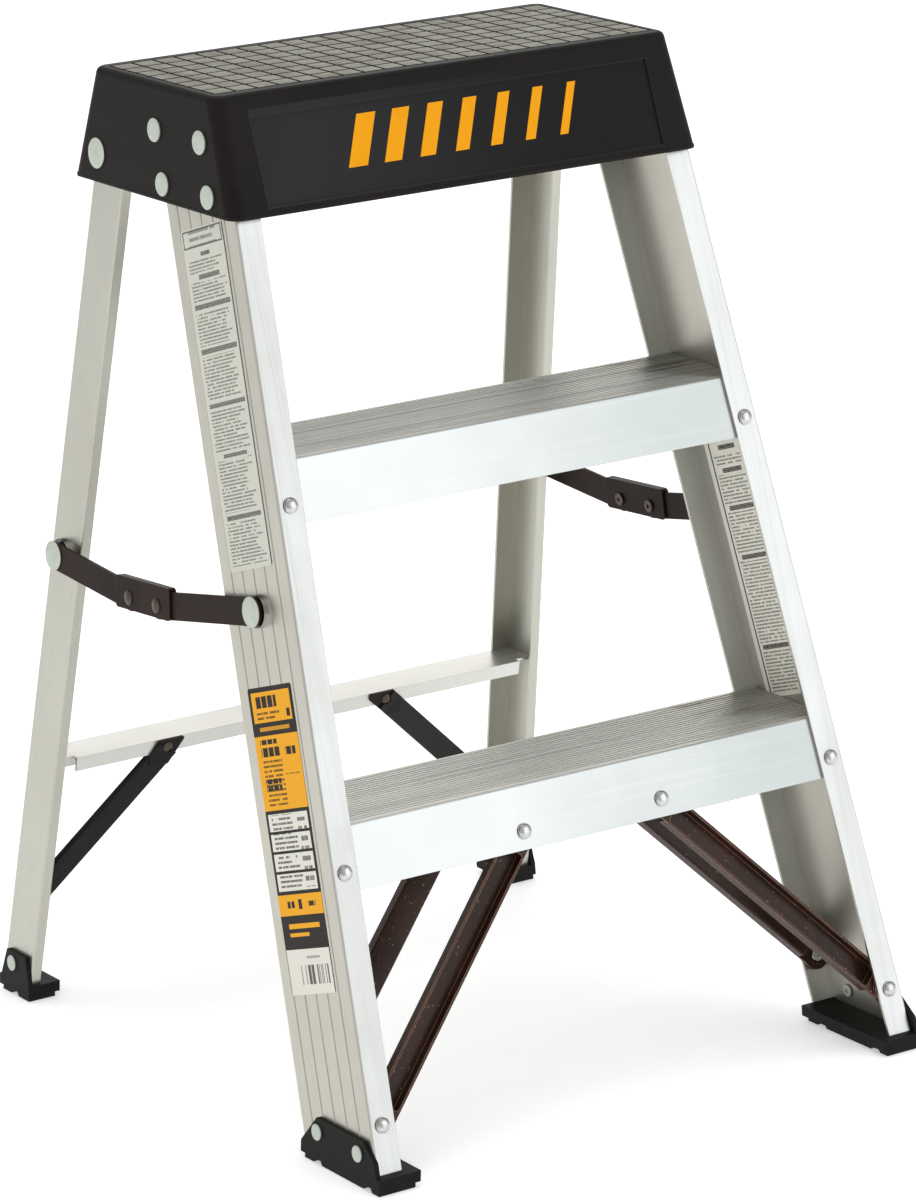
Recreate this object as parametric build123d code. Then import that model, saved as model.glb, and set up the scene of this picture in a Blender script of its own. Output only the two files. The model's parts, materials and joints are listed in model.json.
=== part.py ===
from build123d import *

import os
from math import atan, cos, hypot, sqrt

# A folding two-step ladder with a moulded top cap.
# Frame: +Z up, +X to the climber's right, -Y towards the climber.
# The origin is on the floor, in the middle of the ladder's footprint. Sizes are in millimetres.

# ---- overall sizes
standing_height = 594.0
first_step_height = 196.4
step_spacing = 198.8
stance_depth = 436.0
front_floor_width = 384.7
front_top_width = 308.7
rear_floor_width = 377.8

# ---- rails: where their front faces meet the floor and the standing height
toe_reach = 3.1
heel_reach = 1.65
front_rail_top_y = -20.7
rear_rail_top_y = 70.3

# ---- front rail section
front_rail_depth = 76.2
front_rail_flange = 16.7
front_rail_wall = 1.8
rail_corner = 1.4
rail_groove_pitch = 12.9
rail_groove_width = 1.2
rail_groove_depth = 0.35
rail_groove_count = 5

# ---- rear rail section
rear_rail_depth = 32.9
rear_rail_lip = 7.0
rear_rail_flange = 15.0
rear_rail_wall = 1.6
rear_rivet_inset = 8.5

# ---- steps
step_skirt = 35.5
step_wall = 1.8
step_edge = 1.6
tread_rib_pitch = 3.4
tread_groove_width = 1.4
tread_groove_depth = 0.5
tread_border = 3.5
step_end_gap = 0.4
step_rivet_drop = 24.2

# ---- top cap
cap_skirt_depth = 67.3
cap_wall = 2.9
cap_end_wall = 4.5
cap_ceiling = 5.0
cap_corner = 9.0
cap_top_edge = 4.0
cap_front_low = 5.3
cap_front_high = 3.2
cap_back_low = 15.4
cap_back_high = 7.2
cap_rib = 2.4
cap_rib_depth = 3.5
cap_rib_count = 4
cap_inner_corner = 1.4
panel_half_width = 138.0
panel_bottom = 5.0
panel_height = 52.0
panel_depth = 1.2
pad_length = 13.0
pad_width = 13.0
pad_groove = 1.5
pad_groove_depth = 1.0
pad_margin = 5.5
rail_to_cap = 0.3
rail_top_gap = 13.3

# ---- rear frame pivot
pivot_below_top = 50.4
pivot_from_back = 10.1
pivot_side_gap = 1.2
pivot_washer_radius = 8.0
pivot_washer_wall = 0.6
pivot_tail_gap = 0.7
pivot_tail_radius = 6.4
pivot_shank_radius = 4.0
pivot_head_radius = 9.0
pivot_head_height = 1.2
pivot_rail_end = 12.0

# ---- rear crossbar and its braces
crossbar_height = 160.6
crossbar_lip = 9.0
crossbar_wall = 1.6
crossbar_notch = 15.0
crossbar_end_gap = 0.4
rear_brace_width = 15.0
rear_brace_channel = 4.5
rear_brace_wall = 1.5
rear_brace_tab = 24.0
rear_brace_tab_height = 16.8
rear_brace_low = 55.0
rear_brace_rivet_drop = 5.2
rear_brace_rise = 0.4
rear_brace_top_left = 100.5
rear_brace_top_right = 61.0

# ---- braces under the lower step
brace_width = 17.0
brace_channel = 8.0
brace_wall = 1.5
brace_lug_radius = 9.0
brace_step_x = 48.9
brace_step_drop = 25.3
brace_low = 36.1
brace_end_run = 11.0
brace_web_gap = 0.4

# ---- feet
foot_base = 10.0
foot_tread = 3.3
foot_wall = 3.0
foot_top = 27.9
front_foot_width = 25.5
front_foot_length = 81.3
rear_foot_width = 19.5
rear_foot_length = 36.0
foot_inset = 2.6
foot_notch_width = 9.0
foot_notch_depth = 2.6
foot_notch_slant = 2.0
front_foot_notches = (0.16, 0.80)
rear_foot_notches = (0.52,)
front_cheek_toe = 1.2
front_cheek_knee_y = 5.5
front_cheek_knee = 18.4
front_cheek_top_start = 17.5
front_cheek_top_end = 65.5
front_foot_rivet_drop = 8.5
front_foot_rivet_first = 22.3
front_foot_rivet_second = 64.5
rear_cheek_knee = 11.0
rear_cheek_top_start = 4.4
rear_cheek_top_end = 27.0
rear_cheek_heel = 2.2
rear_foot_rivet_drop = 7.6
rear_foot_rivet_inset = 15.6

# ---- fasteners
rivet_clearance = 0.05
running_clearance = 0.06
rivet_shank = 2.4
rivet_head_radius = 4.6
rivet_head_height = 2.1
rivet_tail_radius = 4.0
rivet_tail_height = 1.4
rivet_tail_bore = 1.3
cap_rivet_upper = 27.6
cap_rivet_lower = 57.5
cap_rivet_inset = 19.0
cap_rivet_spacing = 49.2
cap_rivet_shank = 3.2
cap_rivet_head_radius = 7.0
cap_rivet_head_height = 1.1
foot_rivet_head_radius = 4.9
foot_rivet_head_height = 1.0
crossbar_rivet_inset = 8.0
small_head_radius = 3.3
small_head_height = 1.2
small_tail_radius = 2.7
cap_rivet_tail_radius = 5.3

# ---- spreaders
spreader_front_height = 307.4
spreader_rear_height = 292.7
spreader_rear_shift = 1.4
spreader_split = 0.53
spreader_sag = 12.0
link_pitch = 31.2
bar_height = 16.5
bar_thickness = 2.0
bar_washer = 2.8
bar_gap = 0.3
bar_washer_radius = 9.6
bar_shank = 3.0
bar_head_radius = 9.0
bar_head_height = 1.6
bar_tail_radius = 5.4
link_length = 61.0
link_wall = 1.2
link_roof = 10.9
link_drop = 7.2
link_corner = 2.5
link_rivet_radius = 4.4
link_rivet_head_height = 1.3
link_rivet_tail_radius = 4.0

# ---- working limits of the solids used to trim others
reach = 1000.0
hole_reach = 14.0
crossbar_hole_reach = 4.0

# ---- derived sizes
upper_step_height = first_step_height + step_spacing
front_floor_y = toe_reach - stance_depth / 2
rear_floor_y = stance_depth / 2 + heel_reach - rear_rail_depth
front_slope = (front_rail_top_y - front_floor_y) / standing_height
rear_slope = (rear_floor_y - rear_rail_top_y) / standing_height
front_flare = (front_floor_width - front_top_width) / 2 / standing_height
pivot_height = standing_height - pivot_below_top
cap_bottom = standing_height - cap_skirt_depth
front_rail_end = standing_height - cap_ceiling - cap_rib_depth - rail_top_gap
brace_step_z = first_step_height - brace_step_drop
link_inner = bar_washer - link_wall
link_outer = bar_washer + 2 * bar_gap + bar_thickness


def front_x(z):
    """Outer web face of a front rail at a height."""
    return front_floor_width / 2 - front_flare * z


def front_y(z):
    """Front face of the front rails at a height."""
    return front_floor_y + front_slope * z


rear_pivot_x = front_x(pivot_height) + rail_to_cap - pivot_side_gap
rear_flare = (rear_floor_width / 2 - rear_pivot_x) / pivot_height


def rear_x(z):
    """Outer web face of a rear rail at a height."""
    return rear_floor_width / 2 - rear_flare * z


def rear_y(z):
    """Front face of the rear rails at a height."""
    return rear_floor_y - rear_slope * z


pivot_y = rear_y(pivot_height) + rear_rail_depth - pivot_from_back
front_flange_y = front_rail_wall * hypot(1, front_slope)
rear_flange_y = rear_rail_wall * hypot(1, rear_slope)
front_normal = Vector(0, -1, front_slope).normalized()
rear_face_normal = Vector(0, -1, -rear_slope).normalized()
front_web_normal = Vector(1, 0, front_flare).normalized()
rear_web_normal = Vector(1, 0, rear_flare).normalized()
outward = {False: front_normal, True: -front_normal}


# ---------------------------------------------------------------- shared shapes
def mirrored(shape):
    """The left-hand copy of a right-hand shape."""
    return mirror(shape, about=Plane.YZ)


def polygon(plane, points):
    """A closed face from points given in a plane's own axes."""
    corners = [plane.from_local_coords((across, up, 0)) for across, up in points]
    return make_face(Polyline(*corners, close=True))


def prism(plane, points, thickness):
    """A straight prism on a plane, on the side its normal points to."""
    return Solid.extrude(polygon(plane, points).face(), plane.z_dir * thickness)


def across(points):
    """A prism whose (y, z) outline runs right across the ladder."""
    face = polygon(Plane.YZ.offset(-reach), points).face()
    return Solid.extrude(face, Vector(2 * reach, 0, 0))


def web_plane(x_at, normal, offset=0.0):
    """Plane on a right-hand web: local x is +Y, local y runs up the web."""
    origin = Vector(x_at(0), 0, 0) + normal * offset
    return Plane(origin=origin, x_dir=(0, 1, 0), z_dir=normal)


def on_web(x_at, y, z):
    """Point on a right-hand web's outer face."""
    return Vector(x_at(z), y, z)


def rod(point, direction, radius, start, end):
    """A round rod from start to end, measured along a direction from a point."""
    foot = Vector(*point) + direction * start
    return Plane(origin=foot, z_dir=direction) * Cylinder(
        radius, end - start, align=(Align.CENTER, Align.CENTER, Align.MIN)
    )


def crowned_disc(radius, height, edge):
    """A round head: a straight edge, then a shallow crown."""
    rise = height - edge
    crown_radius = (radius**2 + rise**2) / (2 * rise)
    half = radius / 2
    half_height = height - (crown_radius - sqrt(crown_radius**2 - half**2))
    outline = [
        Line((0, 0, 0), (radius, 0, 0)),
        Line((radius, 0, 0), (radius, 0, edge)),
        ThreePointArc((radius, 0, edge), (half, 0, half_height), (0, 0, height)),
        Line((0, 0, height), (0, 0, 0)),
    ]
    return revolve(make_face(outline), Axis.Z)


def rivet(head_radius, head_height, shank_radius, grip, tail_radius=rivet_tail_radius):
    """A rivet along +Z: its head sits on z = 0, its rolled tail is below the grip."""
    head = crowned_disc(head_radius, head_height, head_height * 0.35)
    shank = Pos(0, 0, -grip / 2) * Cylinder(shank_radius, grip)
    tail = Pos(0, 0, -grip - rivet_tail_height / 2) * Cylinder(tail_radius, rivet_tail_height)
    tail = fillet(tail.edges().filter_by(GeomType.CIRCLE), rivet_tail_height * 0.4)
    hollow = Pos(0, 0, -grip - rivet_tail_height) * Cylinder(rivet_tail_bore, rivet_tail_height)
    return (head + shank + tail) - hollow


def placed(shape, point, outward):
    """A shape moved so that its +Z axis points outward from a point."""
    return Plane(origin=Vector(*point), z_dir=outward) * shape


def drilled(shape, holes, radius, deep=hole_reach):
    """A shape with round holes through it, each given by a point and a direction."""
    for point, direction in holes:
        shape = shape - rod(point, direction, radius, -deep, deep)
    return shape


def group(solids):
    """Separate solids that share one node."""
    return Compound(children=list(solids))


def both_sides(right_hand):
    """Right-hand solids and their mirrored copies, as one group."""
    return group([*right_hand, *[mirrored(solid) for solid in right_hand]])


# ---------------------------------------------------------------- fastener places, right-hand side
def flange_place(z, back):
    """Middle of a front rail's front or rear flange at a height, on its outer side."""
    x = front_x(z) - front_rail_flange / 2
    y = front_y(z) + (front_rail_depth if back else 0)
    return (x, y, z)


def skirt_place(z, back):
    """Where a brace is riveted to the lower step's skirt, on its outer side."""
    y = front_y(z) + (front_rail_depth - front_flange_y if back else front_flange_y)
    return (brace_step_x, y, z)


def step_rivet_places(back):
    """Where a rail's flange is riveted to both steps."""
    treads = (first_step_height, upper_step_height)
    return [flange_place(tread - step_rivet_drop, back) for tread in treads]


# ---------------------------------------------------------------- rails
def channel_section(depth, lip, flange, wall, wall_y):
    """Level section of a C-channel: web on x = 0, front face on y = 0, open towards -x."""
    outline = [
        (0, 0),
        (-lip, 0),
        (-lip, wall_y),
        (-wall, wall_y),
        (-wall, depth - wall_y),
        (-flange, depth - wall_y),
        (-flange, depth),
        (0, depth),
    ]
    section = polygon(Plane.XY, outline)
    corners = section.vertices().sort_by(Axis.X)[-2:]
    return fillet(corners, rail_corner)


def leaning(section, x_at, y_at, low, high):
    """A level section carried up a rail from one height to another."""
    base = Pos(x_at(low), y_at(low), low) * section
    path = Vector(x_at(high) - x_at(low), y_at(high) - y_at(low), high - low)
    return Solid.extrude(base.face(), path)


def front_rail():
    """Right-hand front rail, with shallow grooves down its web."""
    section = channel_section(
        front_rail_depth, front_rail_flange, front_rail_flange, front_rail_wall, front_flange_y
    )
    first = (front_rail_depth - rail_groove_pitch * (rail_groove_count - 1)) / 2
    for index in range(rail_groove_count):
        groove = Rectangle(2 * rail_groove_depth, rail_groove_width)
        section = section - Pos(0, first + index * rail_groove_pitch) * groove
    rail = leaning(section, front_x, front_y, foot_base, front_rail_end)
    for back in (False, True):
        holes = [(place, outward[back]) for place in step_rivet_places(back)]
        holes.append((flange_place(brace_low, back), outward[back]))
        rail = drilled(rail, holes, rivet_shank + rivet_clearance)
    rail = drilled(rail, web_holes(cap_rivet_places()), cap_rivet_shank + rivet_clearance)
    rail = drilled(rail, web_holes(front_foot_rivet_places()), rivet_shank + rivet_clearance)
    return drilled(rail, web_holes([spreader_front_place()]), bar_shank + rivet_clearance)


def rear_rail():
    """Right-hand rear rail, drilled for its pivot, foot, crossbar, brace and spreader."""
    section = channel_section(
        rear_rail_depth, rear_rail_lip, rear_rail_flange, rear_rail_wall, rear_flange_y
    )
    rail = leaning(section, rear_x, rear_y, foot_base, pivot_height + pivot_rail_end)
    pivot = (rear_pivot_x, pivot_y, pivot_height)
    rail = drilled(rail, [(pivot, Vector(1, 0, 0))], pivot_shank_radius + running_clearance)
    foot_hole = [(rear_foot_rivet_place(), rear_web_normal)]
    rail = drilled(rail, foot_hole, rivet_shank + rivet_clearance)
    back_holes = [(place, -rear_face_normal) for place in rear_flange_places()]
    rail = drilled(rail, back_holes, rivet_shank + rivet_clearance)
    return drilled(rail, [(spreader_rear_place(), rear_web_normal)], bar_shank + rivet_clearance)


def web_holes(places):
    """Holes square to a right-hand front web."""
    return [(place, front_web_normal) for place in places]


# ---------------------------------------------------------------- steps
def step(tread):
    """A channel step: ribbed tread, front skirt and rear lip parallel to the rails."""
    low = tread - step_skirt
    under = tread - step_wall
    skirt = step_wall * hypot(1, front_slope)

    def front(z):
        return front_y(z) + front_flange_y

    def back(z):
        return front_y(z) + front_rail_depth - front_flange_y

    outline = [
        (front(low), low),
        (front(tread), tread),
        (back(tread), tread),
        (back(low), low),
        (back(low) - skirt, low),
        (back(under) - skirt, under),
        (front(under) + skirt, under),
        (front(low) + skirt, low),
    ]
    shape = across(outline)
    top_edges = shape.edges().filter_by(Axis.X).group_by(Axis.Z)[-1]
    shape = fillet(top_edges, step_edge)
    span = back(tread) - front(tread) - 2 * tread_border
    count = int(span // tread_rib_pitch)
    start = (front(tread) + back(tread)) / 2 - (count - 1) * tread_rib_pitch / 2
    for index in range(count):
        middle = start + index * tread_rib_pitch
        half = tread_groove_width / 2
        floor = tread - tread_groove_depth
        groove = [(middle - half, floor), (middle - half, tread + 1), (middle + half, tread + 1)]
        groove.append((middle + half, floor))
        shape = shape - across(groove)
    shape = shape & between_webs(front_x, front_rail_wall + step_end_gap, low - 1, tread + 1)
    for is_back in (False, True):
        place = flange_place(tread - step_rivet_drop, is_back)
        for hole in (place, (-place[0], place[1], place[2])):
            shape = drilled(shape, [(hole, outward[is_back])], rivet_shank + rivet_clearance)
    return shape


def lower_step():
    """The lower step, also drilled for the four braces."""
    shape = step(first_step_height)
    for back in (False, True):
        x, y, z = skirt_place(brace_step_z, back)
        holes = [((side * x, y, z), outward[back]) for side in (-1, 1)]
        shape = drilled(shape, holes, rivet_shank + rivet_clearance)
    return shape


def between_webs(x_at, inset, low, high):
    """The tapering space between two webs, less an inset on each side."""
    plane = Plane.XZ.offset(-reach)
    right_low = x_at(low) - inset
    right_high = x_at(high) - inset
    points = [(-right_low, low), (right_low, low), (right_high, high), (-right_high, high)]
    return prism(plane, points, 2 * reach)


# ---------------------------------------------------------------- braces
def pressed_brace(low, top, facing):
    """A pressed channel between two rivets, with flat round lugs in the plane of the rivets.

    The channel is open towards facing and its web lies behind the lugs. The low lug is thicker,
    so that it reaches the rail's flange.
    """
    length = (top - low).length
    plane = Plane(origin=low, x_dir=(top - low).normalized(), z_dir=facing)
    wall = brace_wall
    body_length = length - 2 * brace_end_run
    body = Pos(length / 2, 0, -brace_channel / 2) * Box(body_length, brace_width, brace_channel)
    body = fillet(body.edges().filter_by(Axis.X).group_by(Axis.Z)[0], wall)
    pocket = Box(body_length - 2 * wall, brace_width - 2 * wall, brace_channel)
    pocket = fillet(pocket.edges().filter_by(Axis.Z), wall)
    shape = body - Pos(length / 2, 0, wall - brace_channel / 2) * pocket
    low_lug_wall = wall + step_wall
    for centre, inward, lug_wall in ((0, 1, low_lug_wall), (length, -1, wall)):
        middle = centre + inward * brace_end_run / 2
        tongue = Pos(middle, 0, -wall / 2) * Box(brace_end_run + wall, brace_width, wall)
        lug = Pos(centre, 0, lug_wall / 2 - wall) * Cylinder(brace_lug_radius, lug_wall)
        shape = shape + tongue + lug
    return plane * shape


def step_brace(back):
    """Right-hand brace from the lower step's skirt out to a rail's flange."""
    normal = outward[back]
    top = Vector(*skirt_place(brace_step_z, back)) - normal * step_wall
    low = Vector(*flange_place(brace_low, back)) - normal * (front_rail_wall + step_wall)
    shape = pressed_brace(low, top, normal)
    inset = front_rail_wall + brace_web_gap
    shape = shape & between_webs(front_x, inset, foot_base, first_step_height)
    return drilled(shape, [(low, normal), (top, normal)], rivet_shank + rivet_clearance)


def rear_brace_top(top_x):
    """Rivet point of a rear brace on the front of the crossbar's lip."""
    z = crossbar_height - rear_brace_rivet_drop
    return Vector(top_x, rear_y(z), z)


def rear_brace_foot():
    """Rivet point of a right-hand rear brace on the back of the rail's flange."""
    z = rear_brace_low
    return Vector(rear_x(z) - rear_rivet_inset, rear_y(z) + rear_rail_depth, z)


def rear_brace(top_x):
    """Right-hand strut from the crossbar's lip down and back to a rear rail's flange."""
    wall = rear_brace_wall
    head_point = rear_brace_top(top_x)
    foot_point = rear_brace_foot() + rear_face_normal * rear_rail_wall
    start = head_point + rear_face_normal * (wall / 2)
    end = foot_point + rear_face_normal * (rear_brace_channel / 2 + rear_brace_rise)
    along = (end - start).normalized()
    sideways = along.cross(rear_face_normal).normalized()
    plane = Plane(origin=start, x_dir=along, z_dir=sideways.cross(along))
    length = (end - start).length
    strip = Box(length, rear_brace_width, rear_brace_channel)
    strip = fillet(strip.edges().filter_by(Axis.X), wall / 2)
    pocket_width = rear_brace_width - 2 * wall
    pocket = Box(length, pocket_width, rear_brace_channel)
    strip = strip - Pos(rear_brace_tab / 2, 0, -wall) * pocket
    shape = plane * Pos(length / 2, 0, 0) * strip
    clear = crossbar_height - crossbar_lip - bar_gap
    keep_off = [(rear_y(clear), clear), (rear_y(clear) + rear_rail_depth, clear)]
    above = standing_height
    keep_off += [(rear_y(above) + rear_rail_depth, above), (rear_y(above), above)]
    shape = shape - across(keep_off)
    tab_plane = Plane(origin=head_point, x_dir=(1, 0, 0), z_dir=rear_face_normal)
    tab_height = rear_brace_tab_height
    tab = Box(rear_brace_tab, tab_height, wall)
    tab = fillet(tab.edges().filter_by(Axis.Z), wall)
    up = 1 if tab_plane.y_dir.Z > 0 else -1
    tab = Pos(0, up * (rear_brace_rivet_drop - tab_height / 2), wall / 2) * tab
    lug_plane = Plane(origin=foot_point, x_dir=(1, 0, 0), z_dir=rear_face_normal)
    lug = Pos(0, 0, wall / 2) * Cylinder(rear_brace_width / 2, wall)
    shape = shape + tab_plane * tab + lug_plane * lug
    shape = trimmed_behind(shape, foot_point)
    shape = shape & between_webs(rear_x, rear_rail_wall + brace_web_gap, 0, standing_height)
    seat = small_head_radius + rivet_clearance
    shape = shape - rod(head_point, rear_face_normal, seat, wall, hole_reach)
    holes = [(head_point, rear_face_normal), (foot_point, rear_face_normal)]
    return drilled(shape, holes, rivet_shank + rivet_clearance)


def trimmed_behind(shape, flange_point):
    """A shape cut off level with the inner face of the rear rails' flanges."""
    plane = Plane(origin=flange_point, x_dir=(1, 0, 0), z_dir=-rear_face_normal)
    return shape - plane * Pos(0, 0, reach / 2) * Box(reach, reach, reach)


# ---------------------------------------------------------------- rear crossbar
def crossbar_rivet_place():
    """Right-hand rivet that holds the crossbar to a rear rail's flange, on its back."""
    z = crossbar_height - crossbar_rivet_inset
    return (rear_x(z) - rear_rivet_inset, rear_y(z) + rear_rail_depth, z)


def rear_flange_places():
    """Rivet places on a right-hand rear rail's back face."""
    return [crossbar_rivet_place(), rear_brace_foot()]


def crossbar():
    """Channel between the rear rails: flat top, short front lip and deeper back lip."""
    top = crossbar_height
    under = top - crossbar_wall
    low_front = top - crossbar_lip
    low_back = top - 2 * crossbar_rivet_inset

    def front(z):
        return rear_y(z)

    def back(z):
        return rear_y(z) + rear_rail_depth - rear_flange_y

    outline = [
        (front(low_front), low_front),
        (front(top), top),
        (back(top), top),
        (back(low_back), low_back),
        (back(low_back) - crossbar_wall, low_back),
        (back(under) - crossbar_wall, under),
        (front(under) + crossbar_wall, under),
        (front(low_front) + crossbar_wall, low_front),
    ]
    shape = across(outline)
    shape = shape & between_webs(rear_x, rear_rail_wall + crossbar_end_gap, low_back - 1, top + 1)
    notch_y = rear_y(low_front) + crossbar_wall + rear_flange_y
    for side in (-1, 1):
        cut_x = side * (rear_x(top) - crossbar_notch / 2)
        corner = Pos(cut_x, notch_y - rear_rail_depth / 2, top) * Box(
            crossbar_notch, rear_rail_depth, 4 * crossbar_lip
        )
        shape = shape - corner
    x, y, z = crossbar_rivet_place()
    holes = [((side * x, y, z), -rear_face_normal) for side in (-1, 1)]
    for top_x in (rear_brace_top_right, -rear_brace_top_left):
        holes.append((rear_brace_top(top_x), rear_face_normal))
    return drilled(shape, holes, rivet_shank + rivet_clearance, crossbar_hole_reach)


# ---------------------------------------------------------------- feet
def foot_block(x_at, y_at, depth, width, length, inner_front):
    """Right-hand base of a foot, leaning with its rail, with a notched tread below."""
    outer = foot_wall * hypot(1, front_flare)
    front = y_at(0) - inner_front

    def slab(low, high, inset):
        x_out = x_at(low) + outer
        corners = [
            (x_out - inset / 2, front + inset / 2),
            (x_out - foot_wall - width + inset, front + inset / 2),
            (x_out - foot_wall - width + inset, front + length - inset),
            (x_out - inset / 2, front + length - inset),
        ]
        face = polygon(Plane.XY.offset(low), corners).face()
        path = Vector(x_at(high) - x_at(low), 0, high - low)
        return Solid.extrude(face, path)

    return slab(foot_tread, foot_base, 0) + slab(0, foot_tread, foot_inset)


def notched(shape, front, length, places):
    """A foot with cross notches cut into its tread."""
    for share in places:
        middle = front + length * share
        half = foot_notch_width / 2
        slant = foot_notch_slant
        outline = [
            (middle - half, -1),
            (middle - half, 0),
            (middle - half + slant, foot_notch_depth),
            (middle + half - slant, foot_notch_depth),
            (middle + half, 0),
            (middle + half, -1),
        ]
        shape = shape - across(outline)
    return shape


def front_foot():
    """Right-hand front foot: notched base and an outer cheek riveted to the web."""
    shape = foot_block(front_x, front_y, front_rail_depth, front_foot_width, front_foot_length, toe_reach)
    front = front_y(0) - toe_reach
    shape = notched(shape, front, front_foot_length, front_foot_notches)
    up = 1 / cos(atan(front_flare))
    base_z = foot_tread * up
    cheek = [
        (front + front_cheek_toe, base_z),
        (front + foot_wall, foot_base * up),
        (front + front_cheek_knee_y, front_cheek_knee * up),
        (front + front_cheek_top_start, foot_top * up),
        (front + front_cheek_top_end, foot_top * up),
        (front + front_foot_length, foot_base * up),
        (front + front_foot_length, base_z),
    ]
    shape = shape + prism(web_plane(front_x, front_web_normal), cheek, foot_wall)
    return drilled(shape, web_holes(front_foot_rivet_places()), rivet_shank + rivet_clearance)


def front_foot_rivet_places():
    """Rivets through a right-hand front foot's cheek, on the web."""
    front = front_y(0) - toe_reach
    z = foot_top - front_foot_rivet_drop
    along_web = (front_foot_rivet_first, front_foot_rivet_second)
    return [on_web(front_x, front + along, z) for along in along_web]


def rear_foot_rivet_place():
    """Rivet through a right-hand rear foot's cheek, on the web."""
    back = stance_depth / 2
    return on_web(rear_x, back - rear_foot_rivet_inset, foot_top - rear_foot_rivet_drop)


def rear_foot():
    """Right-hand rear foot: notched base and an outer cheek with one rivet."""
    front = stance_depth / 2 - rear_foot_length
    shape = foot_block(
        rear_x, rear_y, rear_rail_depth, rear_foot_width, rear_foot_length, rear_y(0) - front
    )
    shape = notched(shape, front, rear_foot_length, rear_foot_notches)
    up = 1 / cos(atan(rear_flare))
    cheek = [
        (front, foot_tread * up),
        (front, rear_cheek_knee * up),
        (front + rear_cheek_top_start, foot_top * up),
        (front + rear_cheek_top_end, foot_top * up),
        (front + rear_foot_length - rear_cheek_heel, foot_base * up),
        (front + rear_foot_length - rear_cheek_heel / 2, foot_tread * up),
    ]
    shape = shape + prism(web_plane(rear_x, rear_web_normal), cheek, foot_wall)
    return drilled(shape, [(rear_foot_rivet_place(), rear_web_normal)], rivet_shank + rivet_clearance)


# ---------------------------------------------------------------- top cap
def cap_rivet_places():
    """Four rivets through the cap's end wall into a right-hand front rail's web."""
    places = []
    for below in (cap_rivet_upper, cap_rivet_lower):
        z = standing_height - below
        for along in (cap_rivet_inset, cap_rivet_inset + cap_rivet_spacing):
            places.append(on_web(front_x, front_y(z) + along, z))
    return places


def cap_front_y(z):
    """Cap's outer front face at a height."""
    share = (z - cap_bottom) / cap_skirt_depth
    low = front_y(cap_bottom) - cap_front_low
    high = front_y(standing_height) - cap_front_high
    return low + (high - low) * share


def cap_back_y(z):
    """Cap's outer back face at a height."""
    share = (z - cap_bottom) / cap_skirt_depth
    low = rear_y(cap_bottom) + rear_rail_depth + cap_back_low
    high = rear_y(standing_height) + rear_rail_depth + cap_back_high
    return low + (high - low) * share


def cap_level(z, inset, end_inset, corner):
    """Level outline of the cap at a height, moved in by an inset."""
    half = front_x(z) + rail_to_cap + cap_end_wall - end_inset
    front = cap_front_y(z) + inset
    back = cap_back_y(z) - inset
    outline = RectangleRounded(2 * half, back - front, corner)
    return Pos(0, (front + back) / 2, z) * outline


def cap_shell():
    """Hollow cap body: drafted walls, closed top, open underneath."""
    top = standing_height
    outer = loft([cap_level(cap_bottom, 0, 0, cap_corner), cap_level(top, 0, 0, cap_corner)])
    outer = fillet(outer.faces().sort_by(Axis.Z)[-1].edges(), cap_top_edge)
    inner = loft(
        [
            cap_level(cap_bottom - cap_wall, cap_wall, cap_end_wall, cap_inner_corner),
            cap_level(top - cap_ceiling, cap_wall, cap_end_wall, cap_inner_corner),
        ]
    )
    return outer - inner


def cap_ribs():
    """Stiffening ribs under the cap's ceiling."""
    under = standing_height - cap_ceiling
    low = under - cap_rib_depth
    front = cap_front_y(under) + cap_wall / 2
    back = cap_back_y(low) - cap_wall / 2
    half = front_x(under) + rail_to_cap
    depth = cap_rib_depth + cap_ceiling / 2
    z = low + depth / 2
    ribs = []
    for index in range(cap_rib_count):
        x = -half + (index + 1) * 2 * half / (cap_rib_count + 1)
        ribs.append(Pos(x, (front + back) / 2, z) * Box(cap_rib, back - front - cap_wall, depth))
    ribs.append(Pos(0, (front + back) / 2, z) * Box(2 * half, cap_rib, depth))
    return ribs


def grip_grooves(centre, length, pitch):
    """Middles of the grooves that part a row of pads."""
    count = int(length // pitch)
    start = centre - count * pitch / 2
    return [start + index * pitch for index in range(count + 1)]


def top_cap():
    """Moulded cap: walls, ribs, front sign recess, grip pads and rivet holes."""
    shape = cap_shell()
    for rib in cap_ribs():
        shape = shape + rib
    front_tilt = Vector(0, -1, (cap_front_y(standing_height) - cap_front_y(cap_bottom)) / cap_skirt_depth)
    low = cap_bottom + panel_bottom
    face_point = Vector(0, cap_front_y(low), low)
    panel_plane = Plane(origin=face_point, x_dir=(1, 0, 0), z_dir=front_tilt.normalized())
    panel = Pos(0, panel_height / 2, 0) * Box(2 * panel_half_width, panel_height, 2 * panel_depth)
    shape = shape - panel_plane * panel
    top = standing_height
    front = cap_front_y(top) + pad_margin
    back = cap_back_y(top) - pad_margin
    half = front_x(top) + rail_to_cap + cap_end_wall - pad_margin
    middle = (front + back) / 2
    columns = grip_grooves(0, 2 * half, pad_length + pad_groove)
    rows = grip_grooves(middle, back - front, pad_width + pad_groove)
    field_length = columns[-1] - columns[0] + pad_groove
    field_width = rows[-1] - rows[0] + pad_groove
    cuts = [Pos(x, middle, top) * Box(pad_groove, field_width, 2 * pad_groove_depth) for x in columns]
    cuts += [Pos(0, y, top) * Box(field_length, pad_groove, 2 * pad_groove_depth) for y in rows]
    shape = shape - cuts
    for place in cap_rivet_places():
        for side in (-1, 1):
            point = (side * place.X, place.Y, place.Z)
            direction = Vector(side * front_web_normal.X, 0, front_web_normal.Z)
            shape = drilled(shape, [(point, direction)], cap_rivet_shank + rivet_clearance)
    for side in (-1, 1):
        point = (side * rear_pivot_x, pivot_y, pivot_height)
        shape = drilled(shape, [(point, Vector(side, 0, 0))], pivot_shank_radius + rivet_clearance)
    return shape


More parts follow.
